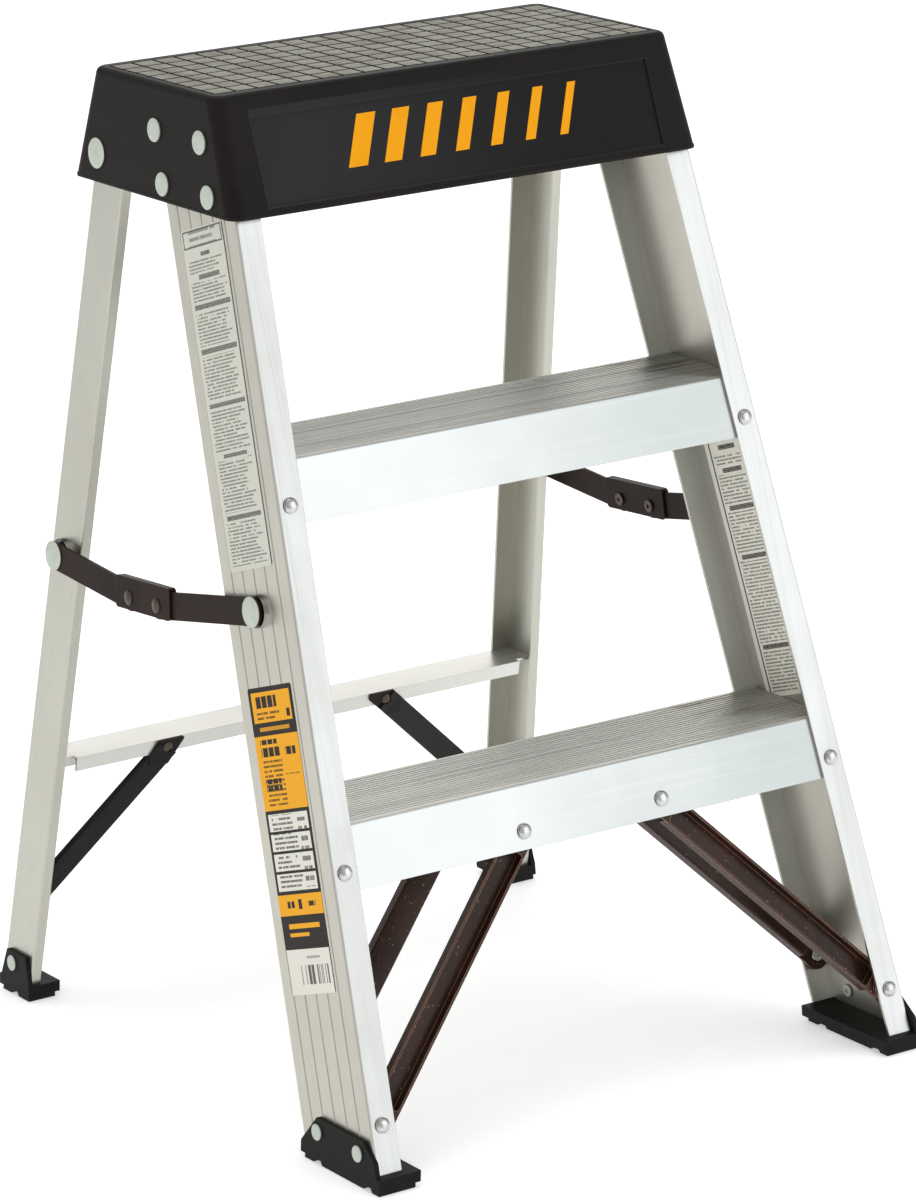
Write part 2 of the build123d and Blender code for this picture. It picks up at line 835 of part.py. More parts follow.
# ---------------------------------------------------------------- spreaders, right-hand side
def spreader_front_place():
    """Spreader's front pivot on the front web."""
    z = spreader_front_height
    return on_web(front_x, front_y(z) + front_rail_depth / 2, z)


def spreader_rear_place():
    """Spreader's rear pivot on the rear web."""
    z = spreader_rear_height
    return on_web(rear_x, rear_y(z) + rear_rail_depth / 2 + spreader_rear_shift, z)


def spreader_chain():
    """The four pivots of a right-hand spreader, all on the plane of the front web."""
    front = spreader_front_place()
    rear_place = spreader_rear_place()
    rear = on_web(front_x, rear_place.Y, rear_place.Z)
    along = (rear - front).normalized()
    down = along.cross(front_web_normal).normalized()
    if down.Z > 0:
        down = -down
    centre = front + (rear - front) * spreader_split + down * spreader_sag
    link_front = centre - along * (link_pitch / 2)
    link_rear = centre + along * (link_pitch / 2)
    return front, link_front, link_rear, rear


def bar(start, end):
    """A flat bar with round ends, pierced at both pivots."""
    length = (end - start).length
    low = bar_washer + bar_gap
    plane = Plane(
        origin=start + front_web_normal * low, x_dir=(end - start).normalized(), z_dir=front_web_normal
    )
    radius = bar_height / 2
    strip = Pos(length / 2, 0, bar_thickness / 2) * Box(length, bar_height, bar_thickness)
    shape = plane * strip
    for centre in (0, length):
        end_disc = Pos(centre, 0, bar_thickness / 2) * Cylinder(radius, bar_thickness)
        shape = shape + plane * end_disc
    return shape


def spreader_front_bar():
    """Bar from the front rail to the link."""
    front, link_front, _, _ = spreader_chain()
    shape = bar(front, link_front)
    shape = drilled(shape, [(front, front_web_normal)], bar_shank + running_clearance)
    return drilled(shape, [(link_front, front_web_normal)], rivet_shank + running_clearance)


def spreader_rear_bar():
    """Bar from the link to the rear rail."""
    _, _, link_rear, rear = spreader_chain()
    shape = bar(rear, link_rear)
    shape = drilled(shape, [(rear, front_web_normal)], bar_shank + rivet_clearance)
    return drilled(shape, [(link_rear, front_web_normal)], rivet_shank + running_clearance)


def spreader_link():
    """Channel over the two bars' ends: its roof stops them from rising past the lock."""
    _, link_front, link_rear, _ = spreader_chain()
    middle = (link_front + link_rear) / 2
    plane = Plane(
        origin=middle, x_dir=(link_rear - link_front).normalized(), z_dir=front_web_normal
    )
    sign = 1 if plane.y_dir.Z > 0 else -1
    top = link_roof + link_wall
    height = top + link_drop
    width = link_outer + link_wall - link_inner
    centre_y = sign * (top - link_drop) / 2
    body = Pos(0, centre_y, link_inner + width / 2) * Box(link_length, height, width)
    slot_height = link_roof + link_drop + link_wall
    slot_y = sign * (link_roof - slot_height / 2)
    slot = Pos(0, slot_y, bar_washer + bar_gap + bar_thickness / 2) * Box(
        link_length + 2, slot_height, bar_thickness + 2 * bar_gap
    )
    body = fillet(body.edges().filter_by(Axis.Z), link_corner)
    shape = plane * (body - slot)
    holes = [(link_front, front_web_normal), (link_rear, front_web_normal)]
    return drilled(shape, holes, rivet_shank + rivet_clearance)


def spreader_link_rivets():
    """The two tubular rivets that join the bars to the link."""
    _, link_front, link_rear, _ = spreader_chain()
    grip = link_outer + link_wall - link_inner
    pin = Pos(0, 0, link_outer + link_wall) * rivet(
        link_rivet_radius, link_rivet_head_height, rivet_shank, grip, link_rivet_tail_radius
    )
    return [placed(pin, point, front_web_normal) for point in (link_front, link_rear)]


def bar_pin(point, normal, foot, top, radius):
    """A large flat-headed rivet standing out from a rail."""
    head = crowned_disc(bar_head_radius, bar_head_height, bar_head_height * 0.4)
    pin = Pos(0, 0, top) * head + Pos(0, 0, (foot + top) / 2) * Cylinder(radius, top - foot)
    return placed(pin, point, normal)


def spreader_front_pin():
    """Front pivot: flat head outside the bar, shank through the web, rolled tail inside."""
    place = spreader_front_place()
    top = bar_washer + 2 * bar_gap + bar_thickness
    pin = bar_pin(place, front_web_normal, -front_rail_wall, top, bar_shank)
    tail_end = front_rail_wall + rivet_tail_height
    tail = rod(place, -front_web_normal, bar_tail_radius, front_rail_wall, tail_end)
    return pin + tail


def spreader_rear_head():
    """Flat head and shank fixed in the rear bar; it stops short of the rear rail."""
    rear = spreader_chain()[3]
    top = bar_washer + bar_gap + bar_thickness
    return bar_pin(rear, front_web_normal, bar_washer + bar_gap, top, bar_shank)


def washer(point, normal, low, high, outer, bore):
    """A flat ring around a pivot."""
    return rod(point, normal, outer, low, high) - rod(point, normal, bore, low - 1, high + 1)


def spreader_front_washer():
    """Spacer between the front web and the bar."""
    place = spreader_front_place()
    return washer(place, front_web_normal, 0, bar_washer, bar_washer_radius, bar_shank + rivet_clearance)


def spreader_rear_spacer():
    """Spacer with its own stub in the rear rail, facing the rear bar's end."""
    place = spreader_rear_place()
    tail_end = -rear_rail_wall - rivet_tail_height
    spacer = rod(place, rear_web_normal, bar_washer_radius, 0, bar_washer)
    stub = rod(place, rear_web_normal, bar_shank, tail_end, 0)
    tail = rod(place, rear_web_normal, bar_tail_radius, tail_end, -rear_rail_wall)
    return spacer + stub + tail


# ---------------------------------------------------------------- rivet groups, right-hand side
def step_rivets():
    """Rivets through the flanges into the steps."""
    pin = rivet(rivet_head_radius, rivet_head_height, rivet_shank, front_rail_wall + step_wall)
    return [placed(pin, place, outward[back]) for back in (False, True) for place in step_rivet_places(back)]


def brace_rivets():
    """Rivets at both ends of the braces under the lower step."""
    low = rivet(
        rivet_head_radius, rivet_head_height, rivet_shank, front_rail_wall + step_wall + brace_wall
    )
    top = rivet(rivet_head_radius, rivet_head_height, rivet_shank, step_wall + brace_wall)
    solids = []
    for back in (False, True):
        solids.append(placed(low, flange_place(brace_low, back), outward[back]))
        solids.append(placed(top, skirt_place(brace_step_z, back), outward[back]))
    return solids


def cap_rivets():
    """Rivets through the cap's end wall and the front rail's web."""
    grip = cap_end_wall + rail_to_cap + front_rail_wall
    pin = rivet(cap_rivet_head_radius, cap_rivet_head_height, cap_rivet_shank, grip, cap_rivet_tail_radius)
    lifted = Pos(0, 0, cap_end_wall + rail_to_cap) * pin
    return [placed(lifted, place, front_web_normal) for place in cap_rivet_places()]


def pivot_rivet():
    """Large rivet that the rear rail swings on: its head lies flat on the cap's end wall."""
    middle = Vector(rear_pivot_x, pivot_y, pivot_height)
    outer = pivot_side_gap + cap_end_wall
    head = placed(
        crowned_disc(pivot_head_radius, pivot_head_height, pivot_head_height / 2),
        middle + Vector(outer, 0, 0),
        front_web_normal,
    )
    sideways = Vector(1, 0, 0)
    inner = -rear_rail_wall - pivot_tail_gap
    shank = rod(middle, sideways, pivot_shank_radius, inner, outer)
    tail = rod(middle, sideways, pivot_tail_radius, inner - rivet_tail_height, inner)
    return head + shank + tail


def pivot_washer():
    """Thin washer between the cap's end wall and the rear rail."""
    wall = Vector(rear_pivot_x + pivot_side_gap, pivot_y, pivot_height)
    bore = pivot_shank_radius + rivet_clearance
    return washer(wall, front_web_normal, -pivot_washer_wall, 0, pivot_washer_radius, bore)


def foot_rivets(places, normal):
    """Flat rivets that hold a foot's cheek to the web."""
    wall = front_rail_wall
    pin = rivet(foot_rivet_head_radius, foot_rivet_head_height, rivet_shank, foot_wall + wall)
    lifted = Pos(0, 0, foot_wall) * pin
    return [placed(lifted, place, normal) for place in places]


def crossbar_rivets():
    """Rivets from a rear rail's back into the crossbar."""
    pin = rivet(rivet_head_radius, rivet_head_height, rivet_shank, rear_rail_wall + crossbar_wall)
    return [placed(pin, crossbar_rivet_place(), -rear_face_normal)]


def rear_brace_rivets():
    """Rivets at both ends of the rear braces, listed for both sides."""
    solids = []
    grip = rear_rail_wall + rear_brace_wall
    low_pin = rivet(rivet_head_radius, rivet_head_height, rivet_shank, grip)
    grip = crossbar_wall + rear_brace_wall
    top_pin = rivet(small_head_radius, small_head_height, rivet_shank, grip, small_tail_radius)
    low_rivet = placed(low_pin, rear_brace_foot(), -rear_face_normal)
    solids += [low_rivet, mirrored(low_rivet)]
    for top_x in (rear_brace_top_right, -rear_brace_top_left):
        lip_point = rear_brace_top(top_x) + rear_face_normal * rear_brace_wall
        solids.append(placed(top_pin, lip_point, rear_face_normal))
    return group(solids)


# ---------------------------------------------------------------- assembly
def build_parts():
    """Every node of the ladder by name."""
    parts = {
        "top_cap": top_cap(),
        "lower_step": lower_step(),
        "upper_step": step(upper_step_height),
        "rear_crossbar": crossbar(),
        "right_rear_brace": rear_brace(rear_brace_top_right),
        "left_rear_brace": mirrored(rear_brace(rear_brace_top_left)),
        "step_rivets": both_sides(step_rivets()),
        "brace_rivets": both_sides(brace_rivets()),
        "cap_rivets": both_sides(cap_rivets()),
        "front_foot_rivets": both_sides(foot_rivets(front_foot_rivet_places(), front_web_normal)),
        "rear_foot_rivets": both_sides(foot_rivets([rear_foot_rivet_place()], rear_web_normal)),
        "crossbar_rivets": both_sides(crossbar_rivets()),
        "rear_brace_rivets": rear_brace_rivets(),
    }
    right_hand = {
        "front_rail": front_rail(),
        "rear_rail": rear_rail(),
        "front_foot": front_foot(),
        "rear_foot": rear_foot(),
        "step_brace_front": step_brace(False),
        "step_brace_back": step_brace(True),
        "pivot_rivet": pivot_rivet(),
        "pivot_washer": pivot_washer(),
        "spreader_front_pin": spreader_front_pin(),
        "spreader_front_washer": spreader_front_washer(),
        "spreader_front_bar": spreader_front_bar(),
        "spreader_link": spreader_link(),
        "spreader_rear_bar": spreader_rear_bar(),
        "spreader_rear_head": spreader_rear_head(),
        "spreader_rear_spacer": spreader_rear_spacer(),
    }
    for name, shape in right_hand.items():
        parts["right_" + name] = shape
        parts["left_" + name] = mirrored(shape)
    link_rivets = spreader_link_rivets()
    parts["right_link_rivets"] = group(link_rivets)
    parts["left_link_rivets"] = group([mirrored(solid) for solid in link_rivets])
    return parts


if __name__ == "__main__":
    os.makedirs("parts", exist_ok=True)
    for name, shape in build_parts().items():
        export_step(shape, f"parts/{name}.step")
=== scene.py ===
import json
import logging
import math
from collections.abc import Callable, Iterable, Sequence
from dataclasses import dataclass
from enum import Enum
from typing import Any

import bmesh
import bpy
from mathutils import Matrix, Vector


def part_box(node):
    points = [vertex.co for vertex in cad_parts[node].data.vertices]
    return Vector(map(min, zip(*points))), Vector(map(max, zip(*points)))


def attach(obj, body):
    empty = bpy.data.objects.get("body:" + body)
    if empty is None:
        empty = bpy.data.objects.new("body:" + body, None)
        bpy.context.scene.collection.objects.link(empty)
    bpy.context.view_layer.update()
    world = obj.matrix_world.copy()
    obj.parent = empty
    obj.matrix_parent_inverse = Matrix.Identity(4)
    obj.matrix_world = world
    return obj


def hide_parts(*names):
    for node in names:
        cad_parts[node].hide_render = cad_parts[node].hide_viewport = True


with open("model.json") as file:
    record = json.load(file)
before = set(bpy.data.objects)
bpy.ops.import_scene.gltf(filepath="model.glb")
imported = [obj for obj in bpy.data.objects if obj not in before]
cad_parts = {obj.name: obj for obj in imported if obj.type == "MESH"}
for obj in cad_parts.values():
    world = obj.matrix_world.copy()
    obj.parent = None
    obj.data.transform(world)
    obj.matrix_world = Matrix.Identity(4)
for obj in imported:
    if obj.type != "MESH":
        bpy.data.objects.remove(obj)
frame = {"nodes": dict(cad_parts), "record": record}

LOG = logging.getLogger("step_ladder")
MM = 0.001
X_AXIS, Y_AXIS, Z_AXIS = range(3)
Colour = tuple[float, float, float]


def toned(colour: Colour, share: float) -> Colour:
    """The same colour, darker or lighter by a share."""
    red, green, blue = colour
    return share * red, share * green, share * blue


def middle_of(points: Sequence[Vector]) -> Vector:
    """The mean of some points."""
    return sum(points, Vector()) / len(points)


class Side(Enum):
    """The two sides of the ladder, with the sign of their x places."""

    LEFT = -1
    RIGHT = 1

    @property
    def word(self) -> str:
        """The side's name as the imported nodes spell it."""
        return self.name.lower()


# ------------------------------------------------------------------ shader arithmetic
class Signal:
    """A node's output that takes part in Python arithmetic."""

    def __init__(self, shader: "Shader", socket: bpy.types.NodeSocket) -> None:
        """Wrap a socket.

        Args:
            shader: The shader that the socket belongs to.
            socket: The output socket.
        """
        self.shader = shader
        self.socket = socket

    def _math(self, operation: str, *values: "Signal | float") -> "Signal":
        """Feed values into a Math node.

        Args:
            operation: The Math node's operation.
            values: The values of its sockets, in order.

        Returns:
            The node's result.
        """
        return self.shader.node("ShaderNodeMath", {"operation": operation}, dict(enumerate(values)))

    def __add__(self, other: "Signal | float") -> "Signal":
        """Sum."""
        return self._math("ADD", self, other)

    def __radd__(self, other: float) -> "Signal":
        """Sum with a number on the left."""
        return self._math("ADD", other, self)

    def __sub__(self, other: "Signal | float") -> "Signal":
        """Difference."""
        return self._math("SUBTRACT", self, other)

    def __rsub__(self, other: float) -> "Signal":
        """Difference from a number."""
        return self._math("SUBTRACT", other, self)

    def __mul__(self, other: "Signal | float") -> "Signal":
        """Product."""
        return self._math("MULTIPLY", self, other)

    def __rmul__(self, other: float) -> "Signal":
        """Product with a number on the left."""
        return self._math("MULTIPLY", other, self)

    def __gt__(self, other: "Signal | float") -> "Signal":
        """One where this is the larger, else zero."""
        return self._math("GREATER_THAN", self, other)

    def __lt__(self, other: "Signal | float") -> "Signal":
        """One where this is the smaller, else zero."""
        return self._math("LESS_THAN", self, other)

    def __abs__(self) -> "Signal":
        """Size without the sign."""
        return self._math("ABSOLUTE", self)

    def floor(self) -> "Signal":
        """Whole part."""
        return self._math("FLOOR", self)

    def fract(self) -> "Signal":
        """Part after the point."""
        return self._math("FRACT", self)

    def either(self, other: "Signal") -> "Signal":
        """The larger of two masks."""
        return self._math("MAXIMUM", self, other)

    def ease(self, low: float, high: float) -> "Signal":
        """A soft step from zero at low to one at high.

        Args:
            low: Where the step starts.
            high: Where it ends.

        Returns:
            The step.
        """
        settings = {"interpolation_type": "SMOOTHSTEP"}
        return self.shader.node("ShaderNodeMapRange", settings, {0: self, 1: low, 2: high})


class Shader:
    """A material under construction."""

    def __init__(self, name: str) -> None:
        """Start an empty material.

        Args:
            name: The material's name.
        """
        self.material = bpy.data.materials.new(name)
        self.material.use_nodes = True
        self.tree = self.material.node_tree
        self.tree.nodes.clear()

    def node(
        self,
        kind: str,
        settings: dict[str, Any] | None = None,
        sockets: dict[int | str, Any] | None = None,
        output: int | str = 0,
    ) -> Signal:
        """Add one node.

        Args:
            kind: The node's type.
            settings: Its own settings, which are set first.
            sockets: The values or signals of its input sockets.
            output: Which output is wanted.

        Returns:
            The wanted output.
        """
        made = self.tree.nodes.new(kind)
        for key, value in (settings or {}).items():
            setattr(made, key, value)
        for key, value in (sockets or {}).items():
            if isinstance(value, Signal):
                self.tree.links.new(value.socket, made.inputs[key])
            else:
                made.inputs[key].default_value = value
        return Signal(self, made.outputs[output])

    def place(self) -> tuple[Signal, Signal, Signal]:
        """The ladder's own x, y and z, in metres."""
        return self.split(self.node("ShaderNodeTexCoord", output="Object"))

    def paper(self) -> tuple[Signal, Signal]:
        """A label's own across and down, from its UV map, both from 0 to 1."""
        across, up, _ = self.split(self.node("ShaderNodeTexCoord", output="UV"))
        return across, 1.0 - up

    def split(self, vector: Signal) -> tuple[Signal, Signal, Signal]:
        """The three parts of a vector."""
        parts = self.node("ShaderNodeSeparateXYZ", None, {0: vector}).socket.node.outputs
        return Signal(self, parts[0]), Signal(self, parts[1]), Signal(self, parts[2])

    def join(self, x: Signal | float, y: Signal | float, z: Signal | float = 0.0) -> Signal:
        """A vector from three parts."""
        return self.node("ShaderNodeCombineXYZ", None, {0: x, 1: y, 2: z})

    def noise(self, vector: Signal, scale: float, detail: float = 3.0, rough: float = 0.5) -> Signal:
        """Soft noise from 0 to 1.

        Args:
            vector: Where it is read.
            scale: Its fineness.
            detail: How many finer layers it has.
            rough: How strong those are.

        Returns:
            The noise.
        """
        sockets = {"Vector": vector, "Scale": scale, "Detail": detail, "Roughness": rough}
        return self.node("ShaderNodeTexNoise", None, sockets)

    def chance(self, value: Signal) -> Signal:
        """One random number from 0 to 1 for each value."""
        return self.node("ShaderNodeTexWhiteNoise", {"noise_dimensions": "1D"}, {"W": value})

    def mix(self, share: Signal | float, first: Signal | Colour, second: Signal | Colour) -> Signal:
        """Blend two colours.

        Args:
            share: How much of the second shows.
            first: The colour underneath.
            second: The colour on top.

        Returns:
            The blended colour.
        """
        pair = [c if isinstance(c, Signal) else (*c, 1.0) for c in (first, second)]
        return self.node("ShaderNodeMix", {"data_type": "RGBA"}, {0: share, 6: pair[0], 7: pair[1]}, 2)

    def facing(self, axis: int) -> Signal:
        """How far the surface faces along an axis, from -1 to 1."""
        return self.split(self.node("ShaderNodeNewGeometry", output="Normal"))[axis]

    def rounded(self, radius: float) -> Signal:
        """The surface's normal with its corners softened by a radius in metres."""
        return self.node("ShaderNodeBevel", {"samples": 4}, {"Radius": radius})

    def corners(self, radius: float) -> Signal:
        """A mask that is one along sharp corners.

        Args:
            radius: Half the width of the band, in metres.

        Returns:
            The mask.
        """
        flat = self.node("ShaderNodeNewGeometry", output="Normal")
        pair = {0: self.rounded(radius), 1: flat}
        turned = self.node("ShaderNodeVectorMath", {"operation": "DOT_PRODUCT"}, pair, "Value")
        return (1.0 - turned).ease(0.01, 0.22)

    def bump(self, height: Signal, distance: float, normal: Signal | None = None) -> Signal:
        """A normal that follows a height.

        Args:
            height: The height, from 0 to 1.
            distance: What a height of 1 measures, in metres.
            normal: The normal underneath.

        Returns:
            The bumped normal.
        """
        sockets: dict[int | str, Any] = {"Height": height, "Distance": distance}
        if normal is not None:
            sockets["Normal"] = normal
        return self.node("ShaderNodeBump", None, sockets)

    def surface(self, **sockets: Any) -> bpy.types.Material:
        """Finish the material with a Principled surface.

        Args:
            sockets: The surface's sockets, with underscores for spaces.

        Returns:
            The finished material.
        """
        named = {key.replace("_", " "): value for key, value in sockets.items()}
        for key, value in named.items():
            if isinstance(value, tuple) and len(value) == 3:
                named[key] = (*value, 1.0)
        skin = self.node("ShaderNodeBsdfPrincipled", None, named)
        out = self.tree.nodes.new("ShaderNodeOutputMaterial")
        self.tree.links.new(skin.socket, out.inputs["Surface"])
        return self.material


# ------------------------------------------------------------------ the rails' lines
@dataclass(frozen=True)
class RailLine:
    """The sloping lines of a pair of rails, worked out from a packed rail's box."""

    node: str
    depth: float
    flange: float

    @property
    def low(self) -> Vector:
        """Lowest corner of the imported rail's box."""
        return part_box(self.node)[0]

    @property
    def high(self) -> Vector:
        """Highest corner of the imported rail's box."""
        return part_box(self.node)[1]

    @property
    def lean(self) -> float:
        """How far the rail moves towards +Y for each metre up."""
        return (self.high.y - self.depth - self.low.y) / (self.high.z - self.low.z)

    @property
    def flare(self) -> float:
        """How far the rail moves inwards for each metre up."""
        return (self.high.x - self.flange - self.low.x) / (self.high.z - self.low.z)

    def front(self, z: float) -> float:
        """Front face of the rail at a height."""
        return self.low.y + self.lean * (z - self.low.z)

    def web(self, z: float) -> float:
        """Outer face of the web at a height."""
        return self.high.x - self.flare * (z - self.low.z)


FRONT_RAILS = RailLine("right_front_rail", 76.2 * MM, 16.7 * MM)
REAR_RAIL_DEPTH = 32.9 * MM


# ------------------------------------------------------------------ finishes
@dataclass(frozen=True)
class CapPlastic:
    """Moulded black-brown plastic with a fine grain and paler worn corners, with a painted bluish
    reflection on its sign recess that darkens to the right.
    """

    body: Colour = (0.0098, 0.0080, 0.0070)
    worn: Colour = (0.050, 0.045, 0.039)
    # The two sign colours are a painted bluish reflection on the sign recess; the second is its darker
    # right-hand end.
    sign: Colour = (0.0210, 0.0205, 0.0225)
    sign_dim_reflection: Colour = (0.0070, 0.0060, 0.0060)
    sign_half_width: float = 0.1385
    sign_low: float = 0.0040
    sign_high: float = 0.0585
    grain: float = 1500.0
    grain_depth: float = 0.05 * MM
    worn_band: float = 1.2 * MM
    corner: float = 0.5 * MM

    def material(self) -> bpy.types.Material:
        """Build the material.

        Returns:
            The finished material.
        """
        shader = Shader("cap_plastic")
        x, y, z = shader.place()
        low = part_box("top_cap")[0].z
        where = shader.join(x, y, z)
        sign = (abs(x) < self.sign_half_width) * (y < 0.0)
        sign = sign * (z > low + self.sign_low) * (z < low + self.sign_high)
        clouds = shader.noise(where, 22.0, 4.0)
        colour = shader.mix(clouds.ease(0.35, 0.75), self.body, toned(self.body, 1.35))
        # Painted reflection: across x the sign recess goes from the bluish sign colour to the darker one.
        colour = shader.mix(sign, colour, shader.mix(x.ease(-0.12, 0.09), self.sign, self.sign_dim_reflection))
        colour = shader.mix(shader.corners(self.worn_band) * 0.75, colour, self.worn)
        scuffs = shader.noise(shader.join(x * 40.0, y * 260.0, z * 160.0), 1.0, 6.0, 0.7).ease(0.62, 0.72)
        colour = shader.mix(scuffs * 0.25, colour, self.worn)
        grain = shader.noise(where, self.grain, 2.0)
        rough = 0.44 + clouds * 0.14 - sign * 0.12 + scuffs * 0.15
        normal = shader.bump(grain, self.grain_depth, shader.rounded(self.corner))
        return shader.surface(Base_Color=colour, Roughness=rough, Normal=normal, Specular_IOR_Level=0.12)


@dataclass(frozen=True)
class GripRubber:
    """Mottled warm grey grit on the cap's pads, dark at their feet."""

    body: Colour = (0.33, 0.325, 0.28)
    dark: Colour = (0.215, 0.205, 0.17)
    foot: Colour = (0.014, 0.012, 0.010)
    foot_below: float = 0.2 * MM
    foot_above: float = 0.12 * MM
    grit_depth: float = 0.12 * MM

    def material(self) -> bpy.types.Material:
        """Build the material.

        Returns:
            The finished material.
        """
        shader = Shader("grip_rubber")
        x, y, z = shader.place()
        where = shader.join(x, y, z)
        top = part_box("top_cap")[1].z
        patches = shader.noise(where, 55.0, 5.0, 0.65)
        grit = shader.noise(where, 1900.0, 2.0, 0.8)
        colour = shader.mix(patches.ease(0.35, 0.70), self.body, self.dark)
        colour = shader.mix(grit.ease(0.45, 0.75) * 0.35, colour, self.dark)
        height = z.ease(top - self.foot_below, top + self.foot_above)
        colour = shader.mix(1.0 - height, colour, self.foot)
        normal = shader.bump(grit, self.grit_depth)
        return shader.surface(Base_Color=colour, Roughness=0.75 + patches * 0.15, Normal=normal)


@dataclass(frozen=True)
class Aluminium:
    """Extruded aluminium with fine lines along its length, soft stains and light scratches; a flange
    colour, when given, is painted light on its front-facing faces.
    """

    name: str
    body: Colour = (0.545, 0.53, 0.465)
    stain: Colour = (0.43, 0.41, 0.35)
    # Colour for front-facing faces: painted light, paler and cooler than the web.
    flange: Colour | None = None
    lean: float = 0.327
    along_x: bool = False
    line_scale: float = 900.0
    rough: float = 0.34
    metal: float = 0.9
    corner: float = 0.5 * MM
    line_depth: float = 0.02 * MM
    streaks: float = 0.25

    def material(self) -> bpy.types.Material:
        """Build the material.

        Returns:
            The finished material.
        """
        shader = Shader(self.name)
        x, y, z = shader.place()
        where = shader.join(x, y, z)
        across = y - z * self.lean
        if self.along_x:
            lined = shader.join(x * 5.0, across * self.line_scale, z * self.line_scale)
        else:
            lined = shader.join(x * self.line_scale, across * self.line_scale, z * 5.0)
        lines = shader.noise(lined, 1.0, 3.0, 0.6)
        clouds = shader.noise(where, 9.0, 5.0, 0.6)
        patches = shader.noise(shader.join(x, across * 5.0, z), 30.0, 3.0)
        nicks = shader.noise(shader.join(x * 700.0, across * 130.0, z * 130.0), 1.0, 2.0).ease(0.70, 0.76)
        base: Signal | Colour = self.body
        # Painted light: faces turned to the front take the paler flange colour.
        if self.flange is not None:
            painted_light_facing = 0.0 - shader.facing(Y_AXIS)
            base = shader.mix(painted_light_facing.ease(0.55, 0.90), self.body, self.flange)
        colour = shader.mix(clouds.ease(0.40, 0.80) * self.streaks, base, self.stain)
        colour = shader.mix(lines.ease(0.45, 0.80) * self.streaks, colour, self.stain)
        colour = shader.mix(nicks * 0.30, colour, self.stain)
        rough = self.rough + (clouds - 0.5) * 0.16 + (lines - 0.5) * 0.10 + patches * 0.05
        normal = shader.bump(lines, self.line_depth, shader.rounded(self.corner))
        return shader.surface(Base_Color=colour, Metallic=self.metal, Roughness=rough, Normal=normal)


@dataclass(frozen=True)
class TreadAluminium:
    """A step's aluminium: skirts painted from bright to shaded across x as painted light, and a duller
    streaked tread on top with painted shade in its grooves.
    """

    # bright and shaded are painted light and painted shade, laid across the skirts along x.
    bright: Colour = (0.655, 0.67, 0.665)
    shaded: Colour = (0.47, 0.50, 0.49)
    tread: Colour = (0.62, 0.61, 0.55)
    streak: Colour = (0.92, 0.91, 0.85)
    smudge: Colour = (0.15, 0.105, 0.09)
    # Dark colour: for the wide streaks, and painted shade in the tread's grooves.
    groove: Colour = (0.25, 0.235, 0.205)
    wide_lines: tuple[float, float] = (24.0 * MM, 49.0 * MM)
    wide_line: float = 1.1 * MM
    flat_below: float = 0.2 * MM
    flat_above: float = 1.0 * MM
    step_depth: float = 5.0 * MM
    line_depth: float = 0.03 * MM
    corner: float = 0.35 * MM

    def material(self) -> bpy.types.Material:
        """Build the material.

        Returns:
            The finished material.
        """
        shader = Shader("step_aluminium")
        x, y, z = shader.place()
        where = shader.join(x, y, z)
        on_top = shader.facing(Z_AXIS).ease(0.80, 0.97)
        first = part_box("lower_step")[1].z
        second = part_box("upper_step")[1].z
        flat = (z > first - self.flat_below) * (z < first + self.flat_above)
        flat = flat.either(z > second - self.flat_below)
        across = y - z * FRONT_RAILS.lean
        lines = shader.noise(shader.join(x * 6.0, across * 1000.0, z * 300.0), 1.0, 4.0, 0.7)
        wide = shader.noise(shader.join(x * 4.0, across * 260.0, z), 1.0, 4.0, 0.7)
        clouds = shader.noise(where, 11.0, 5.0, 0.65)
        dirt = shader.noise(shader.join(x * 14.0, across * 150.0, z), 1.0, 5.0, 0.7).ease(0.52, 0.66)
        tread = shader.mix(lines.ease(0.35, 0.75), self.tread, self.streak)
        tread = shader.mix(wide.ease(0.50, 0.72) * 0.55, tread, self.groove)
        # Painted shade: upward faces below the tread's top level, in its grooves, take the dark groove
        # colour.
        tread = shader.mix(1.0 - flat, tread, self.groove)
        # Painted shade: two dark groove lines across the upper tread.
        behind = y - (FRONT_RAILS.front(0.0) + z * FRONT_RAILS.lean)
        first_line, second_line = (abs(behind - at) < self.wide_line for at in self.wide_lines)
        upper = first_line.either(second_line) * (z > second - self.step_depth)
        tread = shader.mix(upper * 0.85, tread, self.groove)
        tread = shader.mix(dirt * x.ease(0.0, 0.15) * 0.85, tread, self.smudge)
        # Painted light and shade: the skirts go from the bright colour to the shaded one across x.
        painted_light_sweep = (x + (clouds - 0.5) * 0.12).ease(-0.13, 0.15)
        skirt = shader.mix(painted_light_sweep, self.bright, self.shaded)
        skirt = shader.mix(lines.ease(0.45, 0.85) * 0.20, skirt, self.streak)
        colour = shader.mix(on_top, skirt, tread)
        rough = 0.30 + on_top * 0.18 + (clouds - 0.5) * 0.14 + (lines - 0.5) * 0.12
        normal = shader.bump(lines, self.line_depth, shader.rounded(self.corner))
        return shader.surface(Base_Color=colour, Metallic=0.9, Roughness=rough, Normal=normal)


